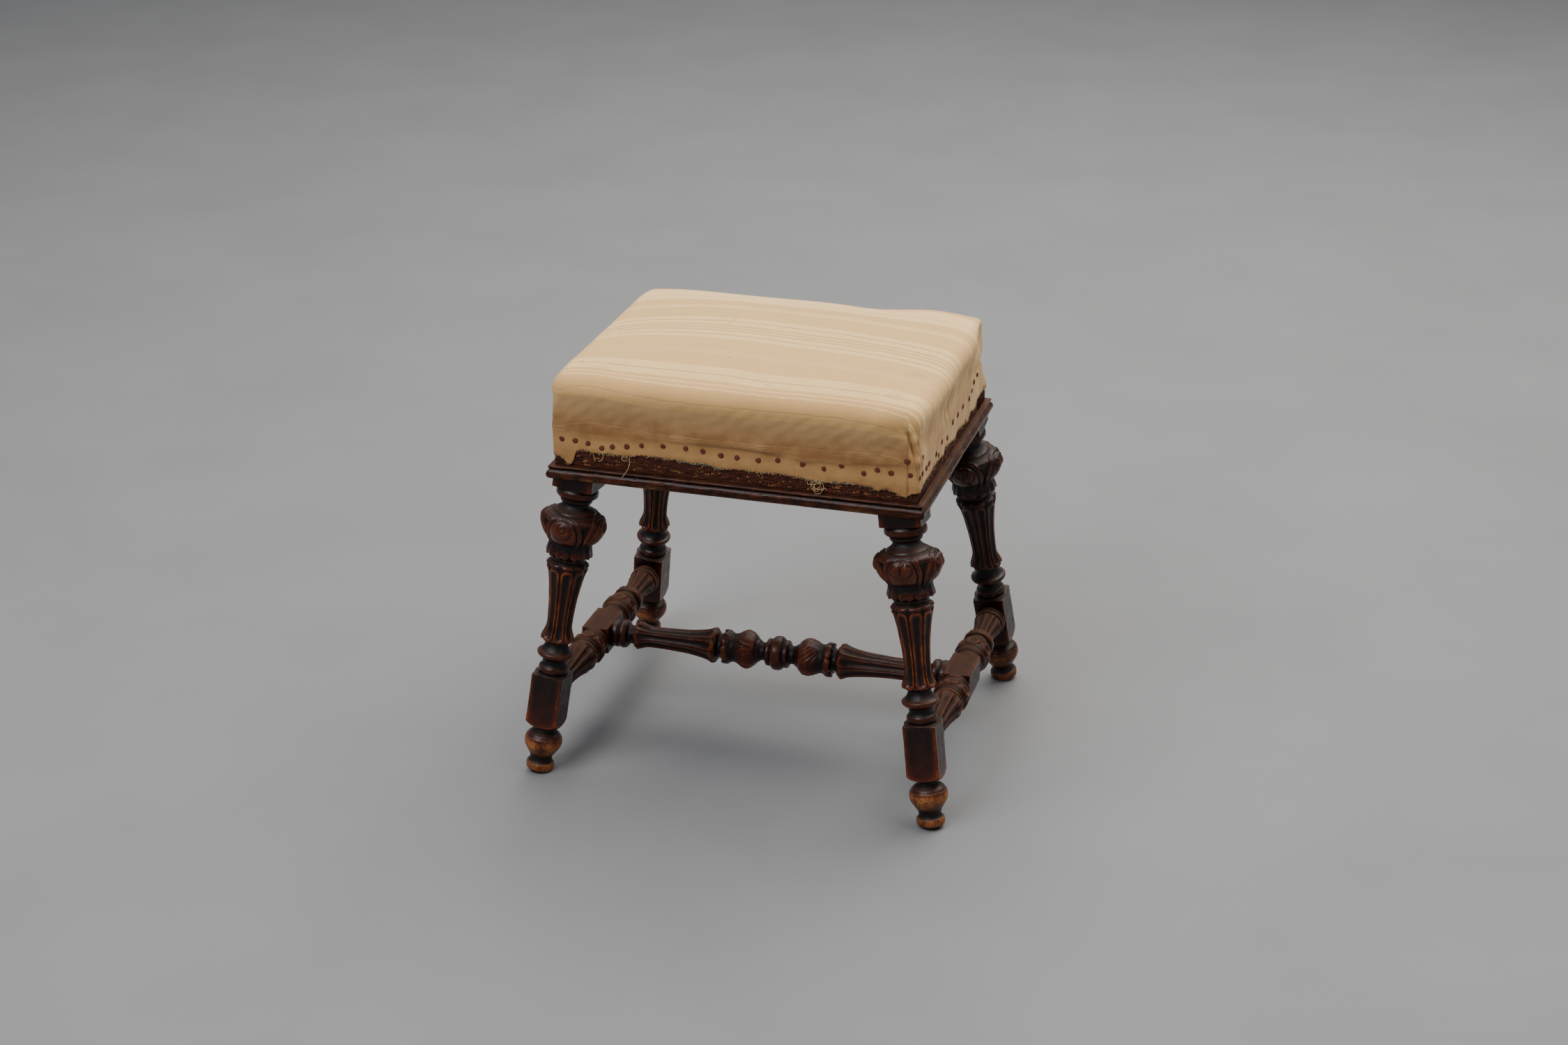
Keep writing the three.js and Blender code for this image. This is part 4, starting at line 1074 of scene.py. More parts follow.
@dataclass
class Woodwork:
    """The legs and stretchers, all in waxed walnut."""

    foot_x: float = 238.5
    foot_y: float = 191.4
    top_x: float = 189.9
    top_y: float = 141.0
    board_bottom: float = 365.86
    stretcher_height: float = 92.8
    stretcher_x: float = 226.2
    leg_wear: dict[tuple[str, str], float] = field(default_factory=lambda: {
        ("front", "left"): 0.8, ("front", "right"): 0.85, ("back", "left"): 0.6, ("back", "right"): 0.4,
    })
    foot_grooves: tuple[tuple[float, float], ...] = ((41.6, 0.9), (45.6, 0.9), (323.2, 0.8), (325.4, 0.6))

    def legs(self, walnut: bpy.types.Material) -> None:
        """Builds the four legs on their splayed axes."""
        for end, side_y in (("front", -1), ("back", 1)):
            for side, side_x in (("left", -1), ("right", 1)):
                foot = np.array([side_x * self.foot_x, side_y * self.foot_y, 0.0])
                top = np.array([side_x * self.top_x, side_y * self.top_y, self.board_bottom])
                axis = (top - foot) / np.linalg.norm(top - foot)
                across = np.array([1.0, 0, 0]) - axis[0] * axis
                across /= np.linalg.norm(across)
                leg = Leg(f"carved_leg_{end}_{side}", foot, axis, across, LEG_OUTLINE, self.foot_grooves)
                leg.eyes = 2 if side == "right" else 1
                leg.worn = self.leg_wear[end, side]
                points, values = leg.surface()
                finish_piece(closed_grid(leg.name, points, values), walnut, Slot.WALNUT, f"leg_{end}_{side}")

    def stretchers(self, along_x: bpy.types.Material, along_y: bpy.types.Material) -> None:
        """Builds the two side stretchers and the centre stretcher."""
        for side, side_x in (("left", -1), ("right", 1)):
            middle = np.array([side_x * self.stretcher_x, 0, self.stretcher_height])
            piece = SideStretcher(
                f"carved_side_stretcher_{side}", middle, np.array([0, 1.0, 0]), np.array([1.0, 0, 0]), SIDE_OUTLINE,
            )
            points, values = piece.surface()
            made = closed_grid(piece.name, points, values)
            finish_piece(made, along_y, Slot.WALNUT, f"side_stretcher_{side}")
        whole = tuple((-s, r) for s, r in CENTRE_HALF[:0:-1]) + CENTRE_HALF
        centre = CentreStretcher(
            "carved_centre_stretcher", np.array([0, 0, self.stretcher_height]), np.array([1.0, 0, 0]),
            np.array([0, 1.0, 0]), whole,
        )
        points, values = centre.surface()
        finish_piece(closed_grid(centre.name, points, values), along_x, Slot.WALNUT, "centre_stretcher")


# Mouldings and rails


@dataclass
class MouldedBoards:
    """Four mitred boards with a fillet, a quirk and a half-round bead along the edge.

    Each is the outline (o, z) swept along its side: a point lies at t (half + o) along it and at
    distance + o out from the middle, so both ends come out mitred.
    """

    half_x: float = 211.2
    half_y: float = 162.3
    bottom: float = 365.86
    thickness: float = 16.7
    overhang: float = 8.8
    width: float = 62.0
    bead_radius: float = 6.6
    fillet_height: float = 2.7
    fillet_inset: float = 2.2
    joint: float = 0.15
    rows: int = 260
    bead_steps: int = 26
    scuffs: tuple[Pairs, ...] = (
        ((-172.0, 30.0), (-98.0, 16.0), (44.0, 10.0), (148.0, 24.0)), ((-92.0, 18.0), (60.0, 12.0)),
        ((-40.0, 30.0), (120.0, 18.0)), ((-110.0, 22.0), (30.0, 34.0)),
    )

    def outline(self) -> np.ndarray:
        """The board's section, outward and up, anticlockwise seen from its right end."""
        bead = np.linspace(-np.pi / 2, np.pi / 2, self.bead_steps)
        nose = self.overhang
        round_part = np.stack([nose - self.bead_radius * (1 - np.cos(bead)),
                               self.bead_radius * (1 + np.sin(bead))], axis=-1)
        top = self.thickness
        inner = nose - self.width
        quirk = 2 * self.bead_radius
        upper = [
            (nose - 4.6, quirk + 0.1), (nose - 4.4, top - self.fillet_height), (nose - self.fillet_inset, top - 2.6),
            (nose - self.fillet_inset, top - 1.4), (nose - self.fillet_inset - 0.3, top - 0.3),
            (nose - self.fillet_inset - 1, top), (nose - 6, top), (nose - 12, top), (inner + 20, top), (inner, top),
        ]
        lower = [(inner, 0.0), (inner + 20, 0.0), (nose - 14, 0.0), (nose - 9, 0.0)]
        return np.concatenate([round_part, np.array(upper), np.array(lower)])

    def build(self, along_x: bpy.types.Material, along_y: bpy.types.Material) -> None:
        """Makes the four boards and gives them their finish."""
        section = self.outline()
        level = softened(np.repeat(section[None, :, 0], 9, axis=0), 3, True)[4]
        for i, name in enumerate(("front", "right", "back", "left")):
            half, distance = (self.half_x, self.half_y) if i % 2 == 0 else (self.half_y, self.half_x)
            t = np.linspace(-1, 1, self.rows)[:, None]
            out, up = section[None, :, 0], section[None, :, 1]
            along = t * (half + out - self.joint)
            edge = ramp(out, 0, self.overhang)
            wobble = ripple(along, up * 3, 42, 20 + i)
            chips = np.clip(ripple(along, up * 6, 9, 40 + i) - 0.95, 0, 1) * 3.0
            nick = 1.6 * spot(along, up, (-22.0, 4.5), 3.2) if i == 0 else 0.0
            out = out + edge * (0.22 * wobble - chips - nick)
            up = up + 0.18 * edge * ripple(along, up, 55, 30 + i)
            points = np.stack([along, -(distance + out), self.bottom + np.clip(up, 0, self.thickness)], axis=-1)
            turn = i * np.pi / 2
            spin = np.array([[np.cos(turn), np.sin(turn), 0], [-np.sin(turn), np.cos(turn), 0], [0, 0, 1]])
            stand = section[None, :, 0] - level[None, :]
            low = hump(section[None, :, 1], 1.2, 3.0) * edge
            wear = np.clip(0.2 * wobble + 1.1 * low + np.clip(stand / 1.2, 0, 0.5), 0, 1)
            quirk = hump(section[None, :, 1], 2 * self.bead_radius + 0.2, 1.2) * edge
            rubbed = sum(hump(along, place, half) for place, half in self.scuffs[i])
            rubbed = rubbed * hump(section[None, :, 1], 2.6, 3.6) * edge * (0.8 + 0.6 * ripple(along, up * 4, 15, 50 + i))
            values = {
                "wear": np.broadcast_to(wear + chips * 0.4, along.shape),
                "grime": np.broadcast_to(quirk, along.shape),
                "warm": np.broadcast_to(0.12 + 0.4 * low, along.shape),
                "bare": np.clip(rubbed, 0, 0.9),
            }
            made = closed_grid(f"moulded_board_{name}", points @ spin, values)
            finish_piece(made, along_y if i % 2 else along_x, Slot.WALNUT, f"moulding_{name}")


@dataclass
class SeatRails:
    """Four rails whose bare strip under the cover is pitted by old tack holes and chipped."""

    half_x: float = 211.2
    half_y: float = 162.3
    thickness: float = 40.0
    bottom: float = 382.56
    top: float = 427.56
    rounding: float = 0.9
    joint: float = 0.2
    step: float = 0.62
    hole_rows: tuple[float, float] = (388.0, 393.5)
    hole_pitch: float = 7.0
    hole_radius: float = 0.95
    hole_depth: float = 1.8
    paint_reach: float = 3.2
    paint_places: tuple[Pairs, ...] = (
        ((-196.0, 386.0), (112.0, 385.0)), ((-156.0, 384.4), (-38.0, 385.4), (-25.0, 386.0), (24.0, 385.0)),
        ((60.0, 388.0),), ((-40.0, 386.0),),
    )

    def section(self) -> tuple[np.ndarray, np.ndarray]:
        """Outward depth and height round a rail, dense on the bare strip, anticlockwise."""
        strip = np.arange(self.bottom + self.rounding, self.bottom + 18, self.step)
        upper = np.linspace(self.bottom + 18, self.top - self.rounding, 9)
        bend = np.linspace(0, np.pi / 2, 5)[1:-1]
        r = self.rounding
        face = np.concatenate([strip, upper])
        depth = np.concatenate([
            np.zeros(len(face)), -r + r * np.cos(bend), [-r, -self.thickness / 2, -self.thickness],
            [-self.thickness, -self.thickness, -self.thickness / 2, -r], -r + r * np.sin(bend),
        ])
        height = np.concatenate([
            face, self.top - r + r * np.sin(bend), [self.top, self.top, self.top],
            [(self.top + self.bottom) / 2, self.bottom, self.bottom, self.bottom],
            self.bottom + r - r * np.cos(bend),
        ])
        return depth, height

    def build(self, finish: bpy.types.Material) -> None:
        """Makes the four rails and gives them their finish."""
        depth, height = self.section()
        for i, name in enumerate(("front", "right", "back", "left")):
            draw = np.random.default_rng(70 + i)
            long = i % 2 == 0
            half = self.half_x if long else self.half_y - self.thickness - self.joint
            distance = self.half_y if long else self.half_x
            along = np.linspace(-half, half, int(2 * half / self.step))[:, None]
            x, z = np.broadcast_arrays(along, height[None, :])
            face = (depth[None, :] > -0.01) & (z < self.bottom + 19)
            pits, torn = np.zeros(x.shape), np.zeros(x.shape)
            for row in self.hole_rows:
                places = np.arange(-half + 4, half - 4, self.hole_pitch)
                for place in places + draw.uniform(-2.5, 2.5, len(places)):
                    high = row + draw.uniform(-2.6, 2.6)
                    pits += hump(np.hypot(x - place, z - high), 0, self.hole_radius * draw.uniform(0.8, 1.5))
                    if draw.random() < 0.55:
                        wide, tall = draw.uniform(1.0, 5.4), draw.uniform(0.6, 1.8)
                        spread = np.hypot((x - place - draw.uniform(-2, 2)) / wide, (z - high) / tall)
                        torn += hump(spread + 0.5 * ripple(x, z, 2.4, 3), 0, 1)
            pits, torn = np.clip(pits, 0, 1) * face, np.clip(torn, 0, 1) * face
            rough = 0.15 * ripple(x, z, 12, 60 + i) * face
            out = depth[None, :] - self.hole_depth * pits - 0.5 * torn + rough - 0.15
            points = np.stack([x, -(distance + out), z], axis=-1)
            turn = i * np.pi / 2
            spin = np.array([[np.cos(turn), np.sin(turn), 0], [-np.sin(turn), np.cos(turn), 0], [0, 0, 1]])
            paint = sum(spot(x, z, place, self.paint_reach) for place in self.paint_places[i])
            values = {"wear": np.clip(torn * 1.3 - pits, 0, 1), "grime": pits, "paint": np.clip(paint * face, 0, 1)}
            made = closed_grid(f"seat_rail_{name}", worn_corner(points @ spin), values)
            finish_piece(made, finish, Slot.RAIL, f"rail_{name}")


# Underside: webbing, hessian and blocks


@dataclass
class Underside:
    """Interlaced webbing and the hessian that lies on it."""

    opening_x: float = 342.4
    opening_y: float = 244.6
    rail_top: float = 427.56
    strap_width: float = 50.0
    strap_thickness: float = 1.5
    strap_lap: float = 26.0
    lift: float = 0.9
    hessian_bottom: float = 430.26
    hessian_thickness: float = 1.0
    hessian_lap: float = 34.0
    sag: float = 0.5

    def strap(self, name: str, place: float, opening: float, crossings: np.ndarray, first: float,
              quarter: bool, finish: bpy.types.Material, node: str) -> None:
        """One strap over and under those that cross it, as a flat tube of rings across its width.

        Its height follows first x lift x cos(pi (x - c0) / pitch), which is over one crossing strap
        and under the next, and settles to zero on the rails.
        """
        end = opening / 2 + self.strap_lap
        x = np.linspace(-end, end, 220)[:, None]
        pitch = opening / len(crossings)
        wave = first * np.cos(np.pi * (x - crossings[0]) / pitch)
        rise = self.lift * np.clip(wave * 1.6, -1, 1) * (1 - ramp(np.abs(x), opening / 2 - 8, opening / 2))
        half, thick = self.strap_width / 2 - 0.4, self.strap_thickness
        across = np.linspace(-half, half, 18)
        y = np.concatenate([across, across[::-1]])[None, :]
        edge = 0.3 * ripple(x, y * 0, 18, 90 + int(place) % 97)
        z = np.concatenate([np.zeros(18), np.full(18, thick)])[None, :]
        y = y + edge * np.sign(y)
        points = np.stack(np.broadcast_arrays(x, place + y, self.rail_top + 0.02 + rise + z), axis=-1)
        cloth = np.stack(np.broadcast_arrays(x, y, 0 * x), axis=-1).reshape(-1, 3)
        cloth = np.concatenate([cloth, cloth[:1], cloth[-1:]]) * MM
        if quarter:
            points = np.stack([-points[..., 1], points[..., 0], points[..., 2]], axis=-1)
        made = closed_grid(name, points, {})
        attribute = made.data.attributes.new("cloth", "FLOAT_VECTOR", "POINT")
        attribute.data.foreach_set("vector", cloth.astype(np.float32).ravel())
        finish_piece(made, finish, Slot.WEBBING, node)

    def build(self) -> None:
        """Makes the straps and the hessian."""
        jute = WovenJute("a3825a", "5e452c", 2.0).make("jute_webbing")
        lengthways = (np.arange(3) + 0.5) * self.opening_y / 3 - self.opening_y / 2
        crossways = (np.arange(4) + 0.5) * self.opening_x / 4 - self.opening_x / 2
        for i, place in enumerate(lengthways):
            self.strap(f"strap_lengthways_{i + 1}", place, self.opening_x, crossways, 1 - 2 * (i % 2), False,
                       jute, f"webbing_lengthways_{i + 1}")
        for i, place in enumerate(crossways):
            self.strap(f"strap_crossways_{i + 1}", -place, self.opening_y, lengthways, 2 * (i % 2) - 1, True,
                       jute, f"webbing_crossways_{i + 1}")
        self.hessian(WovenJute("a48459", "6d5233", 1.6).make("hessian"))

    def hessian(self, finish: bpy.types.Material) -> None:
        """The hessian: a flat sheet that dips a little between the straps' crossings."""
        half_x = self.opening_x / 2 + self.hessian_lap
        half_y = self.opening_y / 2 + self.hessian_lap
        x, y = np.meshgrid(np.linspace(-half_x, half_x, 160), np.linspace(-half_y, half_y, 120), indexing="ij")
        open_part = (1 - ramp(np.abs(x), 150, 171)) * (1 - ramp(np.abs(y), 100, 122))
        low = 0.22 * open_part * ripple(x, y, 60, 15)
        fray = 0.5 * ripple(x, y, 6, 16)
        x = x + fray * ramp(np.abs(x), half_x - 2, half_x) * np.sign(x) * 0.6
        lower, upper = (
            np.stack([x, y, self.hessian_bottom + 0.25 + low + lift], axis=-1) for lift in (0.0, 0.7)
        )
        made = slab("hessian_sheet", lower, upper, {"cloth": lower * MM})
        finish_piece(made, finish, Slot.HESSIAN, "hessian")


# Seat


@dataclass
class SeatForm:
    """The stuffed seat's skin as a formula, shared by the pad and the cover.

    The top is z = H(x, y) over an inner rectangle. From each point of that rectangle's edge the skin
    rolls over a quarter of an ellipse and then runs down the side at a distance that follows from
    the height.
    """

    half_x: float = 198.4
    half_y: float = 149.5
    rail_line: float = 12.8
    roll_out: float = 18.0
    roll_down: float = 15.2
    edge_height: float = 490.9
    crown: float = 9.2
    crown_power: float = 3.2
    plan_power: float = 9.0
    rail_top: float = 427.56

    def top(self, x: np.ndarray, y: np.ndarray) -> np.ndarray:
        """Height of the top: edge + crown (1 - q^3.2), q the ninth-power norm of (x, y) over the
        half sizes, with the lumps of old stuffing added."""
        p = self.plan_power
        q = ((np.abs(x) / self.half_x) ** p + (np.abs(y) / self.half_y) ** p) ** (1 / p)
        lumps = (
            3.2 * spot(x, y, (150, 148), 36) - 2.2 * spot(x, y, (72, 160), 34) + 1.2 * spot(x, y, (-150, 140), 46)
            + 1.3 * spot(x, y, (-176, -128), 34) + 0.5 * ripple(x, y, 130, 4)
        )
        return self.edge_height + self.crown * (1 - q**self.crown_power) + lumps


@dataclass
class SkinColumns:
    """Places round the inner rectangle: base points, outward directions and the point they start from."""

    base: np.ndarray
    way: np.ndarray
    start: np.ndarray
    side: np.ndarray
    along: np.ndarray


@dataclass
class SeatCover:
    """The ticking cover: a top grid, and columns that run over the edge and down to the ragged hem."""

    form: SeatForm = field(default_factory=SeatForm)
    across: int = 160
    deep: int = 112
    corner: int = 13
    rows: int = 48
    roll_rows: int = 11
    thickness: float = 1.2
    stand: float = 1.55
    rail_bottom: float = 382.56
    front_hem: Pairs = (
        (-220, 394), (-209, 394), (-204.6, 393), (-198, 388), (-194.6, 383.7), (-190, 386), (-187.6, 391),
        (-184.7, 401), (-174, 403), (-162, 401), (-140, 401), (-119, 401.5), (-107, 404), (-84, 403.6),
        (-60.5, 402.5), (-47, 401), (-31, 402), (-15.5, 398.2), (6, 400), (37.5, 399), (57.5, 399.8),
        (72.8, 398.4), (101.7, 396), (129, 397.7), (157.7, 397), (166.7, 393), (174, 396), (183, 394), (192, 390),
        (198, 389), (204, 394), (220, 397),
    )
    right_hem: Pairs = (
        (-170, 395), (-156, 396), (-136.6, 400), (-119.7, 399), (-102.8, 401), (-74, 400), (-53, 397.5),
        (-47.8, 403), (-20.7, 399), (3.8, 394.7), (9.5, 400), (40.5, 397), (66, 392), (78, 398), (101, 394),
        (110, 400), (139, 402), (150, 404), (170, 400),
    )
    tuck_edge: Pairs = (
        (388, 208.4), (412, 207.0), (431, 205.4), (444, 203.0), (453, 200.2), (462, 197.0), (470, 192.0), (476, 184.0),
    )
    fold_line: Pairs = (
        (-211, 423), (-190, 422), (-150, 419), (-100, 423), (-60, 425.5), (-30, 426.5), (0, 426.5), (40, 424.5),
        (85, 418.8), (104, 421), (121, 420.4), (150, 423.6), (180, 425.6), (200, 429),
    )
    fold_depth: Pairs = ((-200, 0.0), (-180, 0.6), (-80, 0.7), (-30, 2.0), (60, 2.4), (160, 2.4), (190, 1.2), (199, 0.0))
    # Share of soil and painted shade by height down the sides: part real soil, part painted shade that darkens the
    # cloth lower down, with a painted shadow under the fold above the tacks at 426 to 436. It is lighter at the tack
    # row and dark again at the hem.
    shade_and_soil_by_height: Pairs = (
        (390, 1.0), (399, 0.95), (403.5, 0.78), (411, 0.56), (416, 0.66), (422, 0.8), (426, 1.0), (436, 0.98),
        (440, 0.84), (447, 0.64), (451, 0.48), (455, 0.32), (460, 0.16), (466, 0.1), (474, 0.06), (484, 0.0),
    )
    corner_reach: float = 22.0
    # Soil spread evenly over each side (front, right, back, left), and each side's share of the height curve: part real
    # soil, part painted shade, most of it on the right side.
    side_soil_and_shade: tuple[float, ...] = (0.0, 0.27, 0.14, 0.07)
    side_shade_and_soil_shares: tuple[float, ...] = (1.0, 0.36, 0.57, 0.64)
    pull_places: tuple[float, ...] = (-205, -190, -165, -140, -100, -60, -20, 0, 40, 80, 120, 160, 190, 205)
    pulls: tuple[tuple[float, tuple[float, ...]], ...] = (
        (-219.0, (0, 3, 4.5, 3, 1, 0.5, 0, 0, 0.5, 1.5, 3.5, 4.5, 5, 5)),
        (-176.0, (1, 5.5, 8, 5, 2, 0.5, 0, 0, 0, 0.5, 0.5, -2, -6, -8)),
        (-125.0, (6, 5.5, 3.5, 2, 3, 3.5, 2.5, 0, -3.5, -2.5, -4, -5.5, -7, -8)),
        (0.0, (-22, -14, -6, -2.5, 0, 1, 1, 0, -3.5, -7.5, -12, -14, -17, -22)),
        (112.0, (-13, -10, -8, -6, -1, 1.5, 1.5, 0, -3, -8, -12.5, -13, -14, -17)),
        (176.0, (-4, -3, -2, -1, 0, 0, 0, 0, -2, -4, -5, -5, -5, -5)),
    )

    def columns(self) -> SkinColumns:
        """The columns in order round the inner rectangle, anticlockwise from its front left corner."""
        a, b = self.form.half_x, self.form.half_y
        nx, ny = self.across, self.deep
        numbers = np.arange((nx + 1) * (ny + 1)).reshape(nx + 1, ny + 1)
        sides = [
            (numbers[:, 0], -90), (numbers[-1, :], 0), (numbers[::-1, -1], 90), (numbers[0, ::-1], 180),
        ]
        start, turn, side = [], [], []
        for i, (row, angle) in enumerate(sides):
            start += [row, np.full(self.corner, row[-1])]
            bend = angle + 90 * np.arange(1, self.corner + 1) / (self.corner + 1)
            turn += [np.full(len(row), float(angle)), bend]
            side += [np.full(len(row), i), np.full(self.corner, i if i % 2 == 0 else (i + 1) % 4)]
        start, turn, side = (np.concatenate(v) for v in (start, turn, side))
        x, y = np.divmod(start, ny + 1)
        base = np.stack([-a + 2 * a * x / nx, -b + 2 * b * y / ny], axis=-1)
        way = np.stack([np.cos(np.radians(turn)), np.sin(np.radians(turn))], axis=-1)
        along = np.where(side % 2 == 0, base[:, 0] + 13 * way[:, 0], base[:, 1] + 13 * way[:, 1])
        return SkinColumns(base, way, start, side, along)

    def hem_line(self, side: np.ndarray, along: np.ndarray) -> np.ndarray:
        """Height of the torn hem on a side, 0 to 3 from the front round to the left, at a place along it."""
        front, right = smooth_curve(self.front_hem, along), smooth_curve(self.right_hem, along)
        other = 398 + 2.2 * ripple(along, 0 * along, 34, 9)
        return np.where(side == 0, front + 1.0, np.where(side == 1, right + 0.6, other))

    def hem(self, skin: SkinColumns) -> np.ndarray:
        """Height of the torn hem at each column, with its short nicks."""
        draw = np.random.default_rng(12)
        nicks = draw.uniform(-0.9, 0.7, len(skin.along))
        return np.maximum(self.hem_line(skin.side, skin.along) + nicks, self.rail_bottom + 0.6)

    def side_stand(self, skin: SkinColumns, height: np.ndarray) -> np.ndarray:
        """How far the cover stands out from the rails' line, by column and height."""
        profile = ((380, 1.55), (424, 1.6), (434, 1.9), (441, 1.5), (449, 2.1), (461.7, 4.1), (473, 5.3))
        stand = smooth_curve(profile, height)
        along, side = skin.along[None, :], skin.side[None, :]
        x, y = skin.base[None, :, 0], skin.base[None, :, 1]
        length = np.where(side % 2 == 0, 205.0, 156.0)
        middle = np.clip(np.cos(np.clip(along / length, -1, 1) * np.pi / 2), 0, 1) ** 0.8
        free = ramp(height, 424, 440)
        stand = stand - 1.5 * middle * hump(height, 452, 26)
        line = smooth_curve(self.fold_line, along)
        fold = smooth_curve(self.fold_depth, along) * ramp(height, line - 1.6, line + 1.6)
        fold = fold * (1 - ramp(height, line + 2, line + 22)) * (0.8 + 0.3 * ripple(along, height, 46, 33))
        drag = np.sin((height - 436 + 0.42 * (along - 170)) / 2.4) * hump(along, 172, 34) * hump(height, 440, 13)
        stand = stand + np.where(side == 0, fold + 0.8 * drag, 0)
        gather = np.sin(along / 2.6 + 1.5 * np.sin(height / 17) + 0.05 * height) * hump(along, -30, 52)
        gather += 0.8 * np.sin(along / 2.1 + height / 23) * hump(along, 96, 34)
        gather += 0.8 * np.sin(along / 3.4) * hump(along, -140, 16)
        stand = stand + np.where(side == 1, 0.8 * gather * hump(height, 452, 44), 0)
        drawn = 3.4 * hump(height, 434, 9) + 1.8 * hump(height, 455, 14) + 8.8 * ramp(height, 446, 470)
        stand = stand - drawn * ramp(y, 80, 146) * ramp(x, 120, 196)
        stand = stand - 4.6 * ramp(-y, 108, 149) * ramp(x, 164, 198) * ramp(height, 430, 452)
        stand = stand - 2.4 * ramp(-x, 172, 198) * ramp(-y, 105, 149) * hump(height, 458, 22)
        around = x + 13 * skin.way[None, :, 0] + 1.3 * (y + 13 * skin.way[None, :, 1])
        lumps = 0.8 * ripple(around, height, 52, 21) + 0.4 * ripple(around, height, 19, 22)
        return np.maximum(stand + free * lumps, np.where(height < 424, self.stand, -9.0))

    def pleat(self, skin: SkinColumns, height: np.ndarray) -> np.ndarray:
        """Behind the tuck at the front right corner: a slit, and the side's cloth in upright folds."""
        along, side = skin.along[None, :], skin.side[None, :]
        line = smooth_curve(self.tuck_edge, height)
        near = ramp(height, 404, 412) * (1 - ramp(height, 461, 474))
        slit = -4.2 * hump(along, line + 2.4, 2.8) * ramp(height, 432, 440)
        folds = 0.5 * np.sin((along - line) * 1.5) * ramp(along, line + 2.5, line + 5)
        return np.where(side == 0, near * (slit + folds), 0)

    def points(self, skin: SkinColumns, inset: float, floor: np.ndarray, roll: int, rows: int) -> tuple:
        """Rows of skin points under the top's edge.

        Args:
            skin: The columns.
            inset: How far the skin lies inside the cover's outer face.
            floor: Height where each column ends.
            roll: Rows over the rounded edge.
            rows: Rows below it.

        Returns:
            The grid of points, and the way from the top's edge to each along the skin.
        """
        form = self.form
        base, way = skin.base[None], skin.way[None]
        corner = np.abs(way[..., 0] * way[..., 1]) * 2
        phi = np.linspace(0, np.pi / 2, roll + 1)[1:, None]
        lip = self.side_stand(skin, np.full((1, len(skin.along)), 473.0)) + form.rail_line - inset
        out = lip * np.sin(phi)
        x, y = base[..., 0] + out * way[..., 0], base[..., 1] + out * way[..., 1]
        sharp = 1 - 0.7 * spot(base[..., 0], base[..., 1], (form.half_x, form.half_y), 40)
        drop = form.roll_down * (1 - np.cos(phi)) * (1 + 0.12 * corner) * sharp
        z = form.top(x, y) - drop - inset * np.cos(phi)
        low = z[-1:]
        share = np.linspace(0, 1, rows + 1)[1:, None]
        height = low + (floor[None, :] - low) * share
        nominal = 473 + (height - low) * (473 - floor[None, :]) / (low - floor[None, :])
        stand = self.side_stand(skin, nominal) + self.pleat(skin, height) + form.rail_line - inset
        if not inset:
            crinkle = np.clip(ripple(skin.along[None, :], 1.6 * height, 11, 61) + 0.1, 0, 1)
            stand = stand + 0.8 * crinkle * (1 - ramp(height - floor[None, :], 1, 12))
        power = 2 + 14 * (1 - ramp(height, 428, 466))
        spread = (np.abs(way[..., 0]) ** power + np.abs(way[..., 1]) ** power) ** (1 / power)
        stand = stand / spread
        side_x, side_y = base[..., 0] + stand * way[..., 0], base[..., 1] + stand * way[..., 1]
        grid = worn_corner(np.concatenate([
            np.stack([x, y, z], axis=-1), np.stack([side_x, side_y, height], axis=-1),
        ]))
        edge = np.stack([base[0, :, 0], base[0, :, 1], form.top(base[0, :, 0], base[0, :, 1])], axis=-1)
        steps = np.linalg.norm(np.diff(np.concatenate([edge[None], grid]), axis=0), axis=-1)
        return grid, np.cumsum(steps, axis=0)

    def pull(self, across: np.ndarray, down: np.ndarray) -> np.ndarray:
        """How far the stripes were pulled out of line, between the measured rows of pulls."""
        places = np.array([row for row, _ in self.pulls])
        table = np.stack([
            smooth_curve(tuple(zip(self.pull_places, values)), across) for _, values in self.pulls
        ])
        i = np.clip(np.searchsorted(places, down, side="right") - 1, 0, len(places) - 2)
        t = ramp((down - places[i]) / (places[i + 1] - places[i]), 0, 1)
        low = np.take_along_axis(table, i[None], axis=0)[0]
        high = np.take_along_axis(table, i[None] + 1, axis=0)[0]
        return low + (high - low) * t

    def cloth(self, skin: SkinColumns, way: np.ndarray, height: np.ndarray) -> np.ndarray:
        """Cloth places of the side points in metres, and their soil and painted shade from 0 to 1: over the front and
        back the skin's own length counts along Y, and over the sides along X, where the stripes also
        drift forwards as they fall. Round the front right corner the side's cloth goes on behind the
        pleat: its place there falls back by R (1 - exp(-way / R)) sin(turn) and the way past the line."""
        side = skin.side[None, :]
        sign = np.where((side == 0) | (side == 3), -1.0, 1.0)
        long_side = side % 2 == 0
        across = np.where(long_side, skin.base[None, :, 0] + 0 * way, skin.base[None, :, 0] + sign * way)
        down = np.where(long_side, skin.base[None, :, 1] + sign * way, skin.base[None, :, 1] + 0 * way)
        drift = 0.16 * way + 1.3 * ripple(down, way, 36, 51) + 1.0 * ripple(down, way, 14, 52)
        down = down + np.where(long_side, 0, drift * ramp(way, 4, 40))
        near = (skin.base[None, :, 0] > 0) & (skin.base[None, :, 1] < 0)
        round_corner = near & (side == 0) & (skin.way[None, :, 0] > 0.01)
        behind = near & (side == 0) & (skin.along[None, :] > smooth_curve(self.tuck_edge, height) + 1) & (height < 464)
        reach = self.corner_reach * (1 - np.exp(-way / self.corner_reach)) * np.clip(-skin.way[None, :, 1], 0, 1)
        tucked = skin.base[None, :, 1] - reach - (self.form.half_x - skin.base[None, :, 0])
        tucked = tucked + 0.8 * np.sin(height / 9) * ramp(way, 10, 40)
        down = np.where(round_corner | behind, tucked, down)
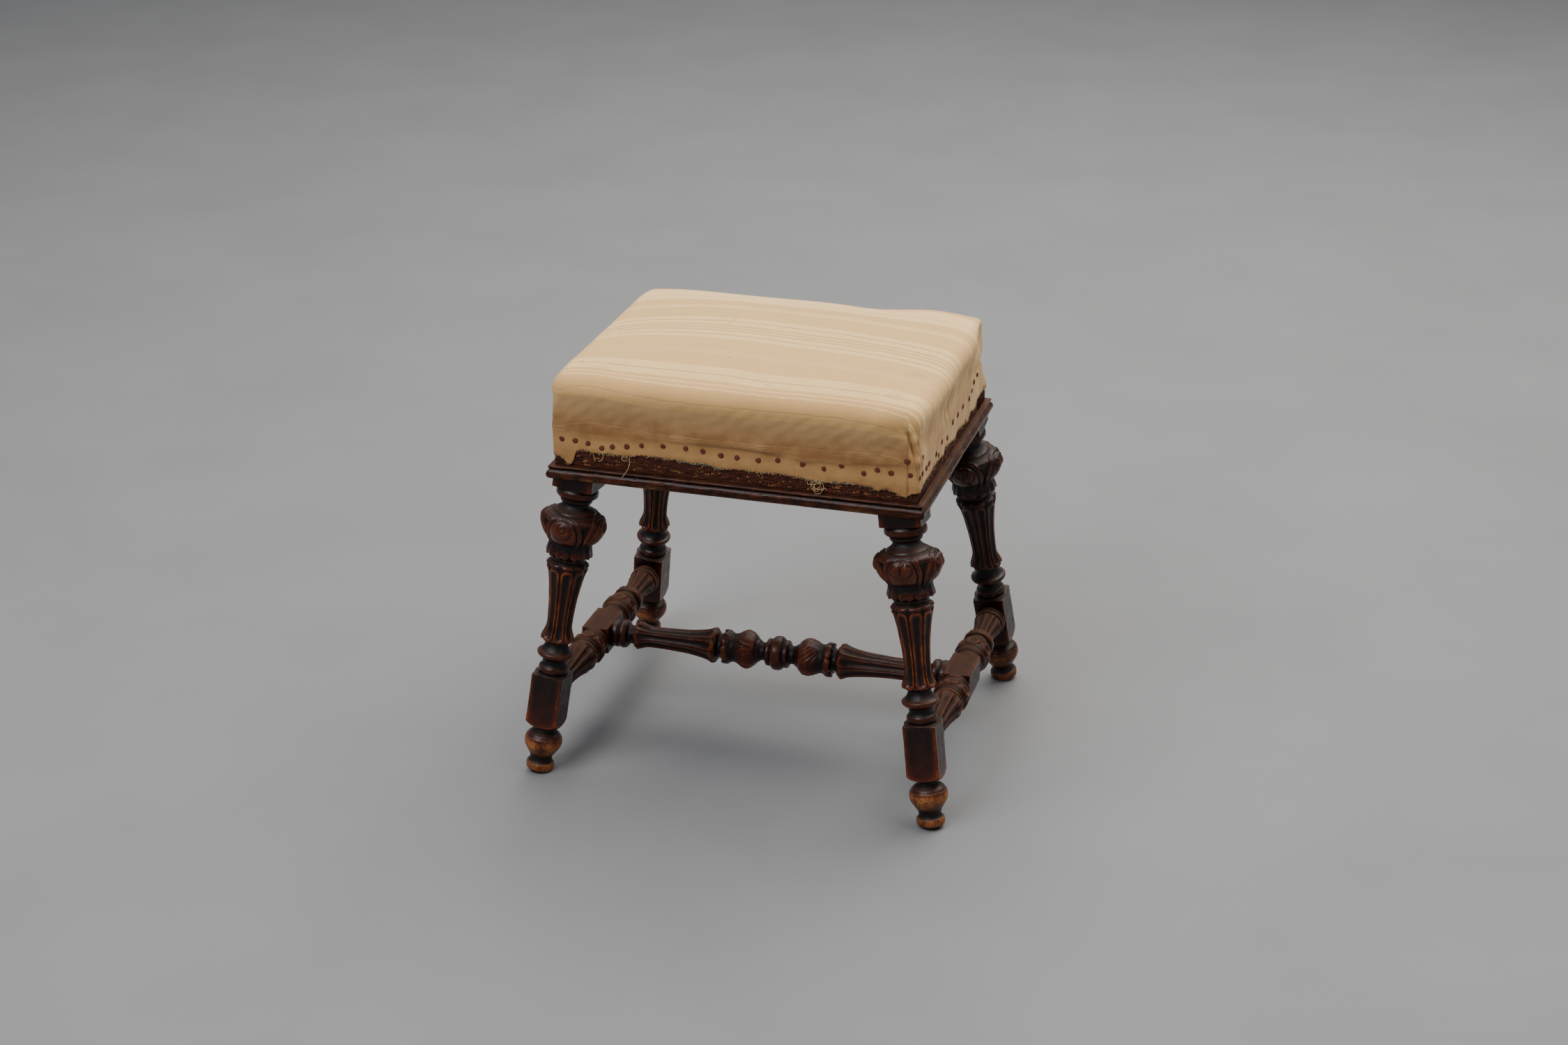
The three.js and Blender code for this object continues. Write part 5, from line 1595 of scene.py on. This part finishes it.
        # Soil and painted shade: an even share for the side, plus the height curve's share of what is left.
        even = np.array(self.side_soil_and_shade)[skin.side][None, :] * ramp(way, 4, 34)
        share = np.array(self.side_shade_and_soil_shares)[skin.side][None, :]
        soil_and_shade = even + smooth_curve(self.shade_and_soil_by_height, height) * (1 - even) * share
        return np.stack([across * MM, (down - self.pull(across, down)) * MM, soil_and_shade], axis=-1)

    def build(self, finish: bpy.types.Material) -> bpy.types.Object:
        """Makes the cover."""
        form, nx, ny = self.form, self.across, self.deep
        skin = self.columns()
        x, y = np.meshgrid(
            np.linspace(-form.half_x, form.half_x, nx + 1), np.linspace(-form.half_y, form.half_y, ny + 1),
            indexing="ij",
        )
        top = np.stack([x, y, form.top(x, y)], axis=-1).reshape(-1, 3)
        sides, way = self.points(skin, 0.0, self.hem(skin), self.roll_rows, self.rows - self.roll_rows)
        numbers = len(top) + np.arange(sides.shape[0] * sides.shape[1]).reshape(sides.shape[:2])
        first = np.stack([skin.start, np.roll(skin.start, -1), np.roll(numbers[0], -1), numbers[0]], axis=-1)
        fan = skin.start == np.roll(skin.start, -1)
        faces = [
            grid_quads(np.arange(len(top)).reshape(nx + 1, ny + 1).T, False), grid_quads(numbers, True)[:, ::-1],
            first[~fan][:, ::-1], first[fan][:, [0, 3, 2]],
        ]
        down = y - self.pull(x, y)
        cloth_top = np.stack([x * MM, down * MM, 0 * x], axis=-1).reshape(-1, 3)
        cloth_sides = self.cloth(skin, way, sides[..., 2]).reshape(-1, 3)
        points = np.concatenate([top, sides.reshape(-1, 3)])
        made = mesh_object("ticking_cover", points, faces, {"cloth": np.concatenate([cloth_top, cloth_sides])})
        wall = made.modifiers.new("thickness", "SOLIDIFY")
        wall.thickness, wall.offset = self.thickness * MM, -1
        finish_piece(made, finish, Slot.TICKING, "seat_cover")
        return made


@dataclass
class CornerTuck:
    """The pleat's fold at the front right corner, where the front's cloth ends in a doubled edge.

    It lies on the cover: its faces stand off the cover's skin by a lift that grows with t, the share
    of its width, as 0.35 t + 0.65 t³ up to its free edge, and sink under the skin at its other edges.
    """

    cover: SeatCover
    width: float = 26.0
    rows: int = 60
    columns: int = 26
    lift: float = 1.7
    thickness: float = 1.0

    def build(self, finish: bpy.types.Material) -> str:
        """Makes the fold and returns its name."""
        cover, whole = self.cover, self.cover.columns()
        kept = (whole.side == 0) & (whole.along > 160)
        skin = SkinColumns(*(getattr(whole, key)[kept] for key in ("base", "way", "start", "side", "along")))
        grid, way = cover.points(skin, 0.0, cover.hem(whole)[kept], cover.roll_rows, self.rows)
        cloth = cover.cloth(skin, way, grid[..., 2])
        grid, cloth = grid[:cover.roll_rows:-1], cloth[:cover.roll_rows:-1]
        height = grid[..., 2].mean(1)
        t = np.sin(np.linspace(0, np.pi / 2, self.columns))[None, :]
        along = smooth_curve(cover.tuck_edge, height)[:, None] + (t - 1) * self.width
        place = np.interp(along, skin.along, np.arange(len(skin.along)))
        low = np.clip(place.astype(int), 0, len(skin.along) - 2)
        share, row = (place - low)[..., None], np.arange(len(grid))[:, None]
        points, cloth = (v[row, low] * (1 - share) + v[row, low + 1] * share for v in (grid, cloth))
        out = skin.way[low] * (1 - share) + skin.way[low + 1] * share
        out = np.concatenate([out / np.linalg.norm(out, axis=-1, keepdims=True), 0 * share], axis=-1)
        rise = (0.3 + 0.7 * ramp(height, 418, 438)) * (1 - ramp(height, 454, 466))
        sunk = 0.4 * (1 - ramp(t, 0, 0.3)) + 1.1 * ramp(height, 456, 467)[:, None] + 0.5 * ramp(t, 0.985, 1.0)
        stand = 0.15 + self.lift * (0.35 * t + 0.65 * t**3) * rise[:, None] - sunk
        outer, inner = (points + (stand - back)[..., None] * out for back in (0.0, self.thickness))
        made = slab("corner_tuck", *(v.transpose(1, 0, 2) for v in (inner, outer)), {"cloth": cloth.transpose(1, 0, 2)})
        finish_piece(made, finish, Slot.TICKING)
        return made.name


@dataclass
class StuffingPad:
    """The tow pad under the cover: the same form, further in, closed flat underneath.

    Behind the slit of the corner tuck it stays further back, by slack exp(-d² / reach²), d from the slit.
    """

    cover: SeatCover
    bottom: float = 431.7
    gap: float = 1.9
    slack: float = 4.5
    slit: tuple[float, float] = (207.0, -160.0)
    reach: float = 14.0

    def build(self, finish: bpy.types.Material) -> None:
        """Makes the pad as one closed form."""
        coarse = SeatCover(across=60, deep=44, corner=5)
        form, skin = coarse.form, coarse.columns()
        x, y = np.meshgrid(np.linspace(-form.half_x, form.half_x, 61), np.linspace(-form.half_y, form.half_y, 45),
                           indexing="ij")
        top = np.stack([x, y, form.top(x, y) - self.gap], axis=-1).reshape(-1, 3)
        sides, _ = coarse.points(skin, self.gap, np.full(len(skin.along), self.bottom), 7, 13)
        sides[..., 1] += self.slack * spot(sides[..., 0], sides[..., 1], self.slit, self.reach)
        ring = sides[-1]
        inner = np.stack([ring * [share, share, 1] for share in (0.96, 0.85, 0.6, 0.3)])
        sides = np.concatenate([sides, inner])
        count = len(skin.along)
        numbers = len(top) + np.arange(sides.shape[0] * count).reshape(-1, count)
        middle = len(top) + sides.shape[0] * count
        first = np.stack([skin.start, np.roll(skin.start, -1), np.roll(numbers[0], -1), numbers[0]], axis=-1)
        fan = skin.start == np.roll(skin.start, -1)
        last = numbers[-1]
        floor = np.stack([np.full(count, middle), np.roll(last, -1), last], axis=-1)
        faces = [
            grid_quads(np.arange(len(top)).reshape(61, 45).T, False), grid_quads(numbers, True)[:, ::-1],
            first[~fan][:, ::-1], first[fan][:, [0, 3, 2]], floor,
        ]
        points = np.concatenate([top, sides.reshape(-1, 3), [[0, 0, self.bottom]]])
        made = mesh_object("tow_pad", points, faces, {})
        finish_piece(made, finish, Slot.STUFFING, "stuffing_pad")


@dataclass
class IronTacks:
    """Hammered tacks along the hem: one for each tack node, and the rest of the rows by place."""

    head_radius: float = 3.3
    head_height: float = 1.1
    columns: int = 14
    profile: Pairs = (
        (0.1, -7.0), (0.27, -5.5), (0.3, -0.4), (0.9, -0.3), (1.0, 0.05), (0.98, 0.35), (0.76, 0.75), (0.36, 0.9),
    )
    right_row: Pairs = (
        (112.3, 432.7), (94.5, 429.9), (84.3, 423.0), (70.1, 418.8), (38.0, 420.8), (13.5, 420.1), (52.4, 397.3),
        (-11.5, 420.9), (-37.1, 411.5), (-62.1, 416.4), (-88.6, 412.5), (-77.2, 406.2), (-149.4, 432.3),
        (-121.7, 414.5), (-134.0, 414.1), (-150.8, 414.8), (-161.2, 413.2),
    )
    row_height: float = 413.0
    row_pitch: float = 22.0
    cloth_x: float = 212.75
    cloth_y: float = 163.85
    nearest: float = 6.5

    def head(self, name: str, place: np.ndarray, turn: int, iron: bpy.types.Material, *nodes: str) -> None:
        """One tack, of rings P(i, a) = place + h_i out + r_i (1 + uneven(a)) (cos a u + sin a v).

        Args:
            name: The piece's name.
            place: The middle of its head's back, in millimetres.
            turn: The side that it is in, 0 to 3 from the front round to the left.
            iron: Its finish.
            nodes: The CAD node it stands for, if any.
        """
        draw = np.random.default_rng(sum(map(ord, name)))
        side = np.array([math.cos(turn * np.pi / 2), math.sin(turn * np.pi / 2), 0.0])
        out = np.array([side[1], -side[0], 0.0]) + draw.uniform(-0.09, 0.09) * side + [0, 0, draw.uniform(-0.09, 0.09)]
        out /= np.linalg.norm(out)
        u = side - (side @ out) * out
        u /= np.linalg.norm(u)
        v = np.cross(out, u)
        share, height = np.array(self.profile).T
        angle = np.arange(self.columns) * 2 * np.pi / self.columns
        phase, lobes = draw.uniform(0, 2 * np.pi, 2), draw.uniform(0.02, 0.07, 2)
        uneven = 1 + lobes[0] * np.cos(2 * angle + phase[0]) + lobes[1] * np.cos(3 * angle + phase[1])
        radius = self.head_radius * draw.uniform(0.88, 1.04) * share[:, None] * uneven[None, :]
        points = (
            worn_corner(place) + height[:, None, None] * out
            + radius[..., None] * (np.cos(angle)[:, None] * u + np.sin(angle)[:, None] * v)
        )
        finish_piece(closed_grid(name, points, {}), iron, Slot.STEEL, *nodes)

    def build(self, iron: bpy.types.Material) -> None:
        """Makes every tack of the four rows."""
        taken = []
        for node in sorted(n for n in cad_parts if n.startswith("tack_")):
            low, high = (np.array(c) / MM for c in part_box(node))
            middle = (low + high) / 2
            if "front" in node:
                middle[1] = low[1] + self.head_height
            else:
                middle[0] = high[0] - self.head_height
                taken.append(middle[1:])
            self.head(f"iron_{node}", middle, 0 if "front" in node else 1, iron, node)
        self.head("iron_tack_pleat", np.array([199.0, -165.6, 432.8]), 0, iron)
        for i, place in enumerate(self.right_row):
            if min(np.linalg.norm(np.array(place) - other) for other in taken) > self.nearest:
                self.head(f"iron_tack_right_extra_{i + 1:02d}", np.array([self.cloth_x, *place]), 1, iron)
        for turn, name, half, distance in ((2, "back", 190.0, self.cloth_y), (3, "left", 140.0, self.cloth_x)):
            draw = np.random.default_rng(30 + turn)
            for i, place in enumerate(np.arange(-half, half, self.row_pitch)):
                along, high = place + draw.uniform(-4, 4), self.row_height + draw.uniform(-3, 3)
                spot_here = [-along, distance, high] if turn == 2 else [-distance, -along, high]
                self.head(f"iron_tack_{name}_{i + 1:02d}", np.array(spot_here), turn, iron)


@dataclass
class HemThreads:
    """Loose ends of the torn hem: a fringe, coloured warp threads, long ends and a tangle."""

    cover: SeatCover
    rail_x: float = 211.2
    rail_y: float = 162.3
    sides: int = 4
    steps: int = 5
    pitch: float = 0.85
    teal_spans: Pairs = ((-61.0, -44.0), (-43.0, -27.0), (-24.0, -12.0), (86.0, 101.0), (107.0, 121.0), (124.0, 138.0))
    pink_spans: Pairs = ((-5.0, 7.0), (-92.0, -84.0), (60.0, 67.0))
    long_ends: tuple[tuple[tuple[float, float, float], ...], ...] = (
        ((-120.9, 1.6, 402.0), (-120.4, 2.4, 395.1), (-122.2, 3.2, 388.2), (-124.9, 6.2, 383.0), (-128.4, 8.2, 378.4)),
        ((-168.1, 1.6, 405.4), (-164.0, 2.6, 402.0), (-163.0, 2.8, 397.0), (-161.4, 2.4, 392.0)),
        ((-153.4, 1.6, 403.0), (-152.0, 2.8, 398.5), (-154.6, 2.6, 394.0), (-157.8, 2.2, 392.2)),
        ((-128.4, 1.6, 403.0), (-130.0, 2.6, 399.2), (-126.7, 2.8, 396.4), (-123.8, 2.4, 398.0)),
        ((104.5, 1.6, 399.0), (96.0, 3.0, 394.0), (87.4, 3.2, 393.2), (86.6, 3.0, 395.6)),
        ((97.9, 1.6, 400.0), (94.6, 3.2, 391.0), (95.9, 3.4, 382.8), (101.8, 3.0, 383.8), (103.2, 2.6, 391.0)),
        ((99.9, 1.6, 400.0), (101.6, 3.2, 394.0), (98.0, 3.6, 386.0), (93.0, 3.0, 386.6), (94.8, 2.8, 393.4)),
        ((90.0, 1.6, 399.0), (92.0, 3.0, 391.6), (100.0, 3.6, 388.4), (107.1, 3.2, 390.6), (108.6, 2.8, 387.4)),
        ((95.0, 1.6, 400.0), (98.8, 2.8, 396.0), (104.5, 3.4, 395.6), (105.4, 3.2, 389.8), (102.6, 2.8, 386.0)),
        ((97.0, 1.6, 399.0), (92.6, 3.0, 395.6), (90.6, 3.4, 389.4), (95.6, 3.2, 387.6), (100.2, 3.0, 391.4)),
    )
    corner_ends: tuple[tuple[tuple[float, float, float], ...], ...] = (
        ((138.6, 1.4, 407.0), (146.0, 3.0, 410.6), (156.0, 4.4, 412.0), (163.6, 4.6, 407.4)),
        ((140.0, 1.4, 403.0), (148.4, 3.0, 401.6), (155.0, 3.6, 398.4), (158.4, 3.0, 399.8)),
        ((-132.6, 1.4, 404.0), (-131.0, 2.6, 399.6), (-127.6, 2.4, 398.0)),
    )

    def tubes(self, name: str, paths: np.ndarray, radius: float, finish: bpy.types.Material) -> bpy.types.Object:
        """Threads as thin closed tubes: P(t, a) = path(t) + r(t) (cos a n + sin a b).

        Args:
            name: The piece's name.
            paths: Threads by points by three, in millimetres.
            radius: Radius in the middle; the ends are thinner.
            finish: The thread's material.

        Returns:
            The object.
        """
        count, steps = paths.shape[:2]
        tangent = np.gradient(paths, axis=1)
        tangent /= np.linalg.norm(tangent, axis=-1, keepdims=True) + 1e-9
        normal = np.cross(tangent, np.array([0.31, 0.9, 0.17]))
        normal /= np.linalg.norm(normal, axis=-1, keepdims=True) + 1e-9
        binormal = np.cross(tangent, normal)
        angle = np.arange(self.sides) * 2 * np.pi / self.sides
        thin = radius * (1 - 0.5 * np.linspace(-1, 1, steps) ** 6)[None, :, None, None]
        ring = np.cos(angle)[:, None] * normal[:, :, None] + np.sin(angle)[:, None] * binormal[:, :, None]
        points = (paths[:, :, None] + thin * ring).reshape(-1, 3)
        numbers = np.arange(len(points)).reshape(count, steps, self.sides)
        after = np.roll(numbers, -1, axis=2)
        quads = np.stack([numbers[:, :-1], after[:, :-1], after[:, 1:], numbers[:, 1:]], axis=-1).reshape(-1, 4)
        ends = np.concatenate([numbers[:, 0, ::-1], numbers[:, -1]])
        made = mesh_object(name, points, [np.concatenate([quads, ends])], {})
        finish_piece(made, finish, Slot.TICKING)
        return made

    def place(self, side: int, local: np.ndarray) -> np.ndarray:
        """Points given as along, out and height on a side, in the seat's own axes."""
        along, out, height = local[..., 0], local[..., 1], local[..., 2]
        distance = (self.rail_y if side % 2 == 0 else self.rail_x) + out
        turned = ((along, -distance), (distance, along), (along, distance), (-distance, along))[side]
        return np.stack([*turned, height], axis=-1)

    def fringe(self) -> np.ndarray:
        """Short threads that hang from the hem on all four sides and lean every way."""
        paths = []
        t = np.linspace(0, 1, self.steps)[None, :]
        for side, half in enumerate((208.0, 160.0, 208.0, 160.0)):
            draw = np.random.default_rng(200 + side)
            start = np.arange(-half, half, self.pitch)
            start = (start + draw.uniform(-1.2, 1.2, len(start)))[:, None]
            size = start.shape
            length = draw.gamma(1.5, 0.9, size) + 0.7
            lean, curl = draw.normal(0, 0.8, size), draw.normal(0, 0.7, size)
            top = self.cover.hem_line(np.full(size, side), start) + 0.8
            along = start + length * (lean * t + curl * t * (1 - t) * 2)
            height = np.maximum(top - length * t * (1 - 0.3 * np.abs(lean) * t), 383.2)
            out = 1.15 + draw.uniform(0, 0.9, size) * np.sin(np.pi * t * 0.8)
            paths.append(self.place(side, np.stack([along, out, height], axis=-1)))
        return np.concatenate(paths)

    def spans(self, spans: Pairs, seed: int) -> np.ndarray:
        """Threads that lie along the front hem from one place to another."""
        draw = np.random.default_rng(seed)
        t = np.linspace(0, 1, 12)[None, :]
        low, high = np.array(spans).T[..., None]
        along = low + (high - low) * t
        phase = draw.uniform(0, 6, low.shape)
        edge = self.cover.hem_line(np.zeros_like(along), along)
        height = edge - 0.2 + 0.8 * np.sin(7 * t + phase)
        return self.place(0, np.stack([along, 1.9 + 0.3 * np.sin(9 * t + phase), height], axis=-1))

    def curves(self, side: int, ends: tuple, steps: int = 26) -> np.ndarray:
        """Smooth threads through given places on a side."""
        paths = []
        for places in ends:
            knots = np.array(places)
            way = np.linspace(0, len(knots) - 1, steps)
            rows = [smooth_curve(tuple(enumerate(column)), way) for column in knots.T]
            paths.append(self.place(side, np.stack(rows, axis=-1)))
        return np.stack(paths)

    def build(self) -> list[str]:
        """Makes the threads and returns their names."""
        cream = CottonThread("e2c08c", "b8935f").make("cotton_thread")
        made = [
            self.tubes("hem_fringe", self.fringe(), 0.2, cream),
            self.tubes("hem_threads_teal", self.spans(self.teal_spans, 5), 0.3,
                       CottonThread("6f9a90", "4f776f").make("teal_thread")),
            self.tubes("hem_threads_pink", self.spans(self.pink_spans, 6), 0.3,
                       CottonThread("a8525c", "84404a").make("pink_thread")),
            self.tubes("hem_long_ends", self.curves(0, self.long_ends), 0.3, cream),
            self.tubes("hem_corner_ends", self.curves(1, self.corner_ends), 0.28, cream),
        ]
        return [piece.name for piece in made]


@dataclass
class Studio:
    """Camera at the photograph's view, soft lights and a plain pale floor."""

    place: tuple[float, float, float] = (0.83385936, -2.67662085, 1.51517494)
    right: tuple[float, float, float] = (0.95680558, 0.29057062, -0.00958135)
    up: tuple[float, float, float] = (-0.10993736, 0.39212332, 0.91331981)
    forward: tuple[float, float, float] = (-0.26914097, 0.87281614, -0.40713034)
    lens: float = 59.66
    sensor: float = 36.0
    floor_half: float = 30.0

    def camera(self) -> None:
        """Sets the camera."""
        data = bpy.data.cameras.new("camera")
        data.lens, data.sensor_width, data.clip_end = self.lens, self.sensor, 200.0
        camera = bpy.data.objects.new("camera", data)
        axes = Matrix((self.right, self.up, [-v for v in self.forward])).transposed().to_4x4()
        camera.matrix_world = Matrix.Translation(self.place) @ axes
        bpy.context.scene.collection.objects.link(camera)
        bpy.context.scene.camera = camera

    def light(self, name: str, place: tuple[float, float, float], size: float, power: float, colour: str) -> None:
        """One square area light aimed at the seat."""
        data = bpy.data.lights.new(name, "AREA")
        data.size, data.energy, data.color = size, power, linear(colour)[:3]
        lamp = bpy.data.objects.new(name, data)
        lamp.location = place
        lamp.rotation_euler = (Vector((0, 0, 0.3)) - Vector(place)).to_track_quat("-Z", "Y").to_euler()
        bpy.context.scene.collection.objects.link(lamp)

    def build(self) -> None:
        """Makes the world, the lights and the floor."""
        world = bpy.data.worlds.new("studio")
        bpy.context.scene.world = world
        world.use_nodes = True
        world.node_tree.nodes["Background"].inputs["Color"].default_value = linear("e9eef5")
        world.node_tree.nodes["Background"].inputs["Strength"].default_value = 0.32
        self.light("key", (0.5, 1.5, 3.4), 4.2, 262.0, "fffaf4")
        self.light("right_fill", (3.0, -0.6, 1.9), 2.0, 9.0, "fff0dc")
        self.light("front_fill", (-1.2, -2.2, 3.2), 2.2, 105.0, "fbfaff")
        edge = self.floor_half * 1000
        corners = np.array([[-edge, -edge, 0], [edge, -edge, 0], [edge, edge, 0], [-edge, edge, 0]], float)
        floor = mesh_object("floor", corners, [np.array([[0, 1, 2, 3]])], {})
        floor.data.materials.append(PaleFloor().make())


def main() -> None:
    """Builds the stool and its studio in order."""
    logging.basicConfig(level=logging.INFO, format="%(message)s")
    studio = Studio()
    studio.camera()
    studio.build()
    upright, along_x = (CarvedWalnut().make(grain) for grain in (Grain.UPRIGHT, Grain.ALONG_X))
    dusty = CarvedWalnut("dusty_walnut", rubbed="84582f", dust="50372a", dusting=0.75, specular=0.16)
    along_y = dusty.make(Grain.ALONG_Y)
    dull = CarvedWalnut("dull_walnut", brown="200e08", warm="421b0c", rubbed="70391a", dust="35261f", specular=0.2)
    woodwork = Woodwork()
    woodwork.legs(upright)
    woodwork.stretchers(along_x, along_y)
    MouldedBoards().build(dull.make(Grain.ALONG_X), along_y)
    SeatRails().build(BareRail().make())
    pine = SawnPine().make()
    for name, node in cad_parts.items():
        if name.startswith("corner_block"):
            node.data.materials.clear()
            node.data.materials.append(pine)
    Underside().build()
    cover = SeatCover()
    StuffingPad(cover).build(BrownFibre().make())
    striped = StripedTicking().make()
    ticking = cover.build(striped)
    threads = [CornerTuck(cover).build(striped)] + HemThreads(cover).build()
    IronTacks().build(RustedIron().make())


if __name__ == "__main__":
    main()
